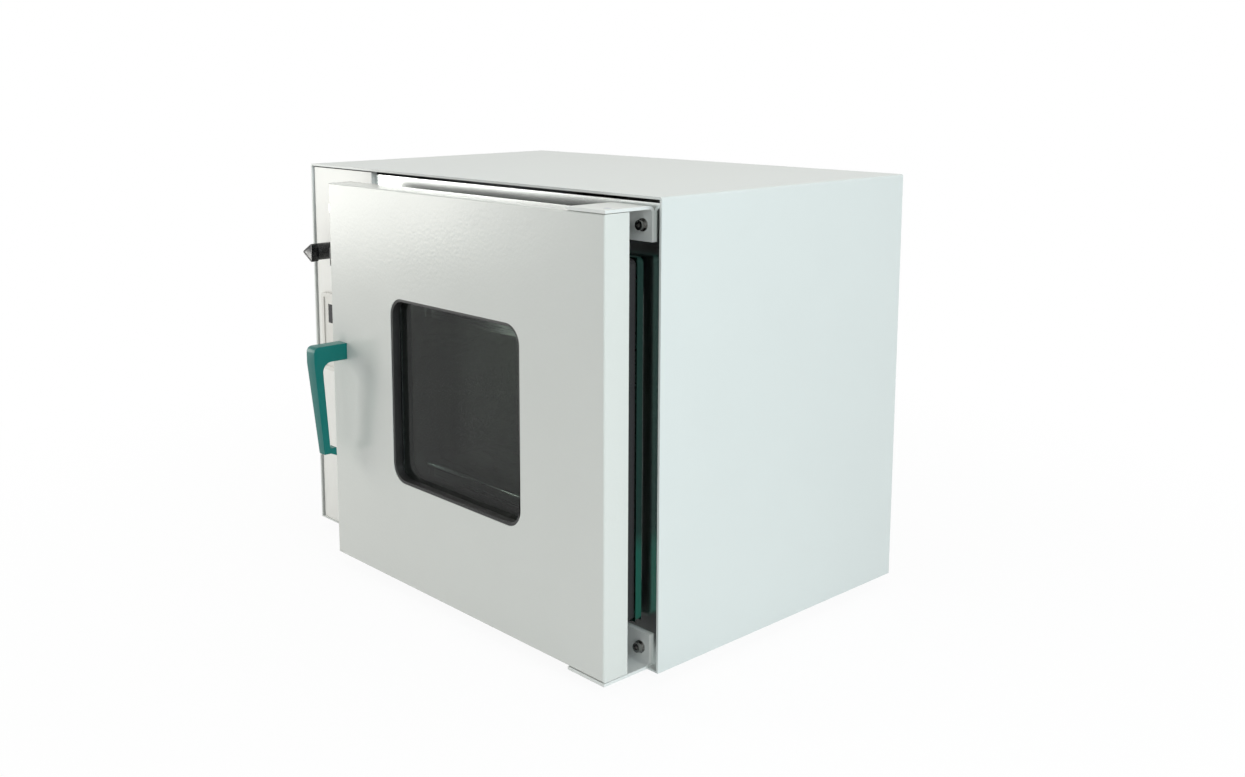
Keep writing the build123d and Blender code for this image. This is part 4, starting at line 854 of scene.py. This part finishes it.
# %% Switch marks
ROCKER = Vector((-0.2293, -0.1520, 0.145))
rocker_lean = Matrix.Translation(ROCKER) @ Matrix.Rotation(math.radians(7), 4, "X")
switch_print = [stroke("on_bar", (0.0008, 0.00006, 0.0035),
                       rocker_lean @ Matrix.Translation((0, -0.00503, 0.0036)))]
deselect()
bpy.ops.mesh.primitive_torus_add(major_radius=0.0016, minor_radius=0.0003, major_segments=32,
                                 minor_segments=8)
off_ring = bpy.context.object
off_ring.data.transform(rocker_lean @ Matrix.Translation((0, -0.0050, -0.0036))
                        @ Matrix.Rotation(math.pi / 2, 4, "X") @ Matrix.Diagonal((1, 1, 0.3, 1)))
switch_print.append(off_ring)
switch_marks = join("switch_marks", switch_print)
place_on(switch_marks, "power_rocker", dial_white)
print("switch marks", len(switch_marks.data.polygons), "faces")

# %% [markdown]
# ## Hose nozzle
# Small barbs keep the vacuum hose from slipping off the nozzle. Each barb is a short cone that
# rises slowly and ends in a step. One is modelled around the bare tube and copied along it.

# %% Nozzle barbs
FIRST_BARB, BARB_STEP, BARB_COUNT = (-0.2563, 0.2265, 0.3155), 0.0065, 4
deselect()
bpy.ops.mesh.primitive_cone_add(vertices=48, radius1=0.0059, radius2=0.0049, depth=0.006,
                                location=FIRST_BARB, rotation=(-math.pi / 2, 0, 0))
first_barb = settle("hose_barbs")
pick_faces(first_barb, lambda center, normal: abs(normal.y) > 0.9)
bpy.ops.mesh.inset(thickness=0.0013)
bpy.ops.mesh.bridge_edge_loops()
leave_edit()
soften(close_up(first_barb), 0.0002, segments=2)
barbs = [first_barb]
for step in range(1, BARB_COUNT):
    barb = first_barb.copy()
    barb.data = first_barb.data.copy()
    barb.data.transform(Matrix.Translation((0, BARB_STEP * step, 0)))
    bpy.context.collection.objects.link(barb)
    barbs.append(barb)
hose_barbs = join("hose_barbs", barbs)
place_on(hose_barbs, "case", stainless)
print("hose barbs", len(hose_barbs.data.polygons), "faces")

# %% [markdown]
# ## The studio
# The oven stands on a wide plain floor under large soft lamps. The floor shows white to the camera
# and in reflections, and a part of its real shading keeps the shadow under the oven. The air is
# white for the same rays, and lights the oven only softly.

# %% Floor
def light_share(tree, kinds):
    """One where a ray is of one of the kinds, and nought elsewhere."""
    ray = tree.nodes.new("ShaderNodeLightPath")
    share = ray.outputs[kinds[0]]
    for kind in kinds[1:]:
        adder = tree.nodes.new("ShaderNodeMath")
        adder.operation = "ADD"
        adder.use_clamp = True
        tree.links.new(share, adder.inputs[0])
        tree.links.new(ray.outputs[kind], adder.inputs[1])
        share = adder.outputs[0]
    return share


SEEN_WHITE = ("Is Camera Ray", "Is Glossy Ray", "Is Transmission Ray")
FLOOR_SIZE, SHADOW_NEAR, SHADOW_FAR = 60, 0.25, 1.1
deselect()
bpy.ops.mesh.primitive_plane_add(size=FLOOR_SIZE)
floor = settle("studio_floor")
floor_finish, tree, paper, place = finish("studio_floor_paper")
paper.inputs["Base Color"].default_value = (0.94, 0.94, 0.94, 1)
paper.inputs["Roughness"].default_value = 0.9
reach = tree.nodes.new("ShaderNodeVectorMath")
reach.operation = "LENGTH"
tree.links.new(place, reach.inputs[0])
fade = tree.nodes.new("ShaderNodeMapRange")
fade.interpolation_type = "SMOOTHSTEP"
fade.inputs["From Min"].default_value = SHADOW_NEAR
fade.inputs["From Max"].default_value = SHADOW_FAR
fade.inputs["To Min"].default_value = 0.93
fade.inputs["To Max"].default_value = 1.0
tree.links.new(reach.outputs["Value"], fade.inputs["Value"])
share = tree.nodes.new("ShaderNodeMath")
share.operation = "MULTIPLY"
tree.links.new(light_share(tree, SEEN_WHITE), share.inputs[0])
tree.links.new(fade.outputs["Result"], share.inputs[1])
white = tree.nodes.new("ShaderNodeEmission")
mixer = tree.nodes.new("ShaderNodeMixShader")
tree.links.new(share.outputs[0], mixer.inputs["Fac"])
tree.links.new(paper.outputs["BSDF"], mixer.inputs[1])
tree.links.new(white.outputs["Emission"], mixer.inputs[2])
tree.links.new(mixer.outputs["Shader"], tree.nodes["Material Output"].inputs["Surface"])
floor.data.materials.append(floor_finish)
print("floor laid")

# %% World
world = bpy.data.worlds.new("studio_air")
bpy.context.scene.world = world
world.use_nodes = True
sky = world.node_tree
glow = sky.nodes["Background"]
glow.inputs["Color"].default_value = (0.97, 0.98, 1.0, 1)
glow.inputs["Strength"].default_value = 0.28
plain = sky.nodes.new("ShaderNodeBackground")
plain.inputs["Color"].default_value = (1, 1, 1, 1)
sky_mix = sky.nodes.new("ShaderNodeMixShader")
sky.links.new(light_share(sky, SEEN_WHITE), sky_mix.inputs["Fac"])
sky.links.new(glow.outputs["Background"], sky_mix.inputs[1])
sky.links.new(plain.outputs["Background"], sky_mix.inputs[2])
sky.links.new(sky_mix.outputs["Shader"], sky.nodes["World Output"].inputs["Surface"])
print("white sky")

# %% [markdown]
# ## Lamps
# Three large soft lamps light the oven. The right one is the strongest and slightly cool. The left
# one stands low, so that the door's glossy coat shows it as a broad sheen. The top one is warm.
# Large area lamps give soft edges; small ones would draw hard shadows.


# %% Lamps
def softbox(name, place, aim, width, height, watts, colour):
    """A large lamp that faces a point."""
    deselect()
    turn = (Vector(aim) - Vector(place)).to_track_quat("-Z", "Y").to_euler()
    bpy.ops.object.light_add(type="AREA", location=place, rotation=turn)
    light = bpy.context.object
    light.name = name
    light.data.shape = "RECTANGLE"
    light.data.size = width
    light.data.size_y = height
    light.data.energy = watts
    light.data.color = colour
    return light


softbox("right_softbox", (2.3, -0.55, 1.15), (0.3, -0.1, 0.25), 1.4, 1.4, 34, (0.86, 0.975, 1.0))
softbox("left_softbox", (-1.75, -1.15, 0.62), (-0.1, -0.2, 0.42), 0.9, 1.0, 17, (1.0, 0.99, 0.94))
softbox("top_softbox", (0.1, 0.1, 2.6), (0.1, 0, 0.3), 1.8, 1.8, 22, (1.0, 0.98, 0.90))
print("lamps hung")

# %% Finish
bpy.context.scene.view_settings.view_transform = "Standard"
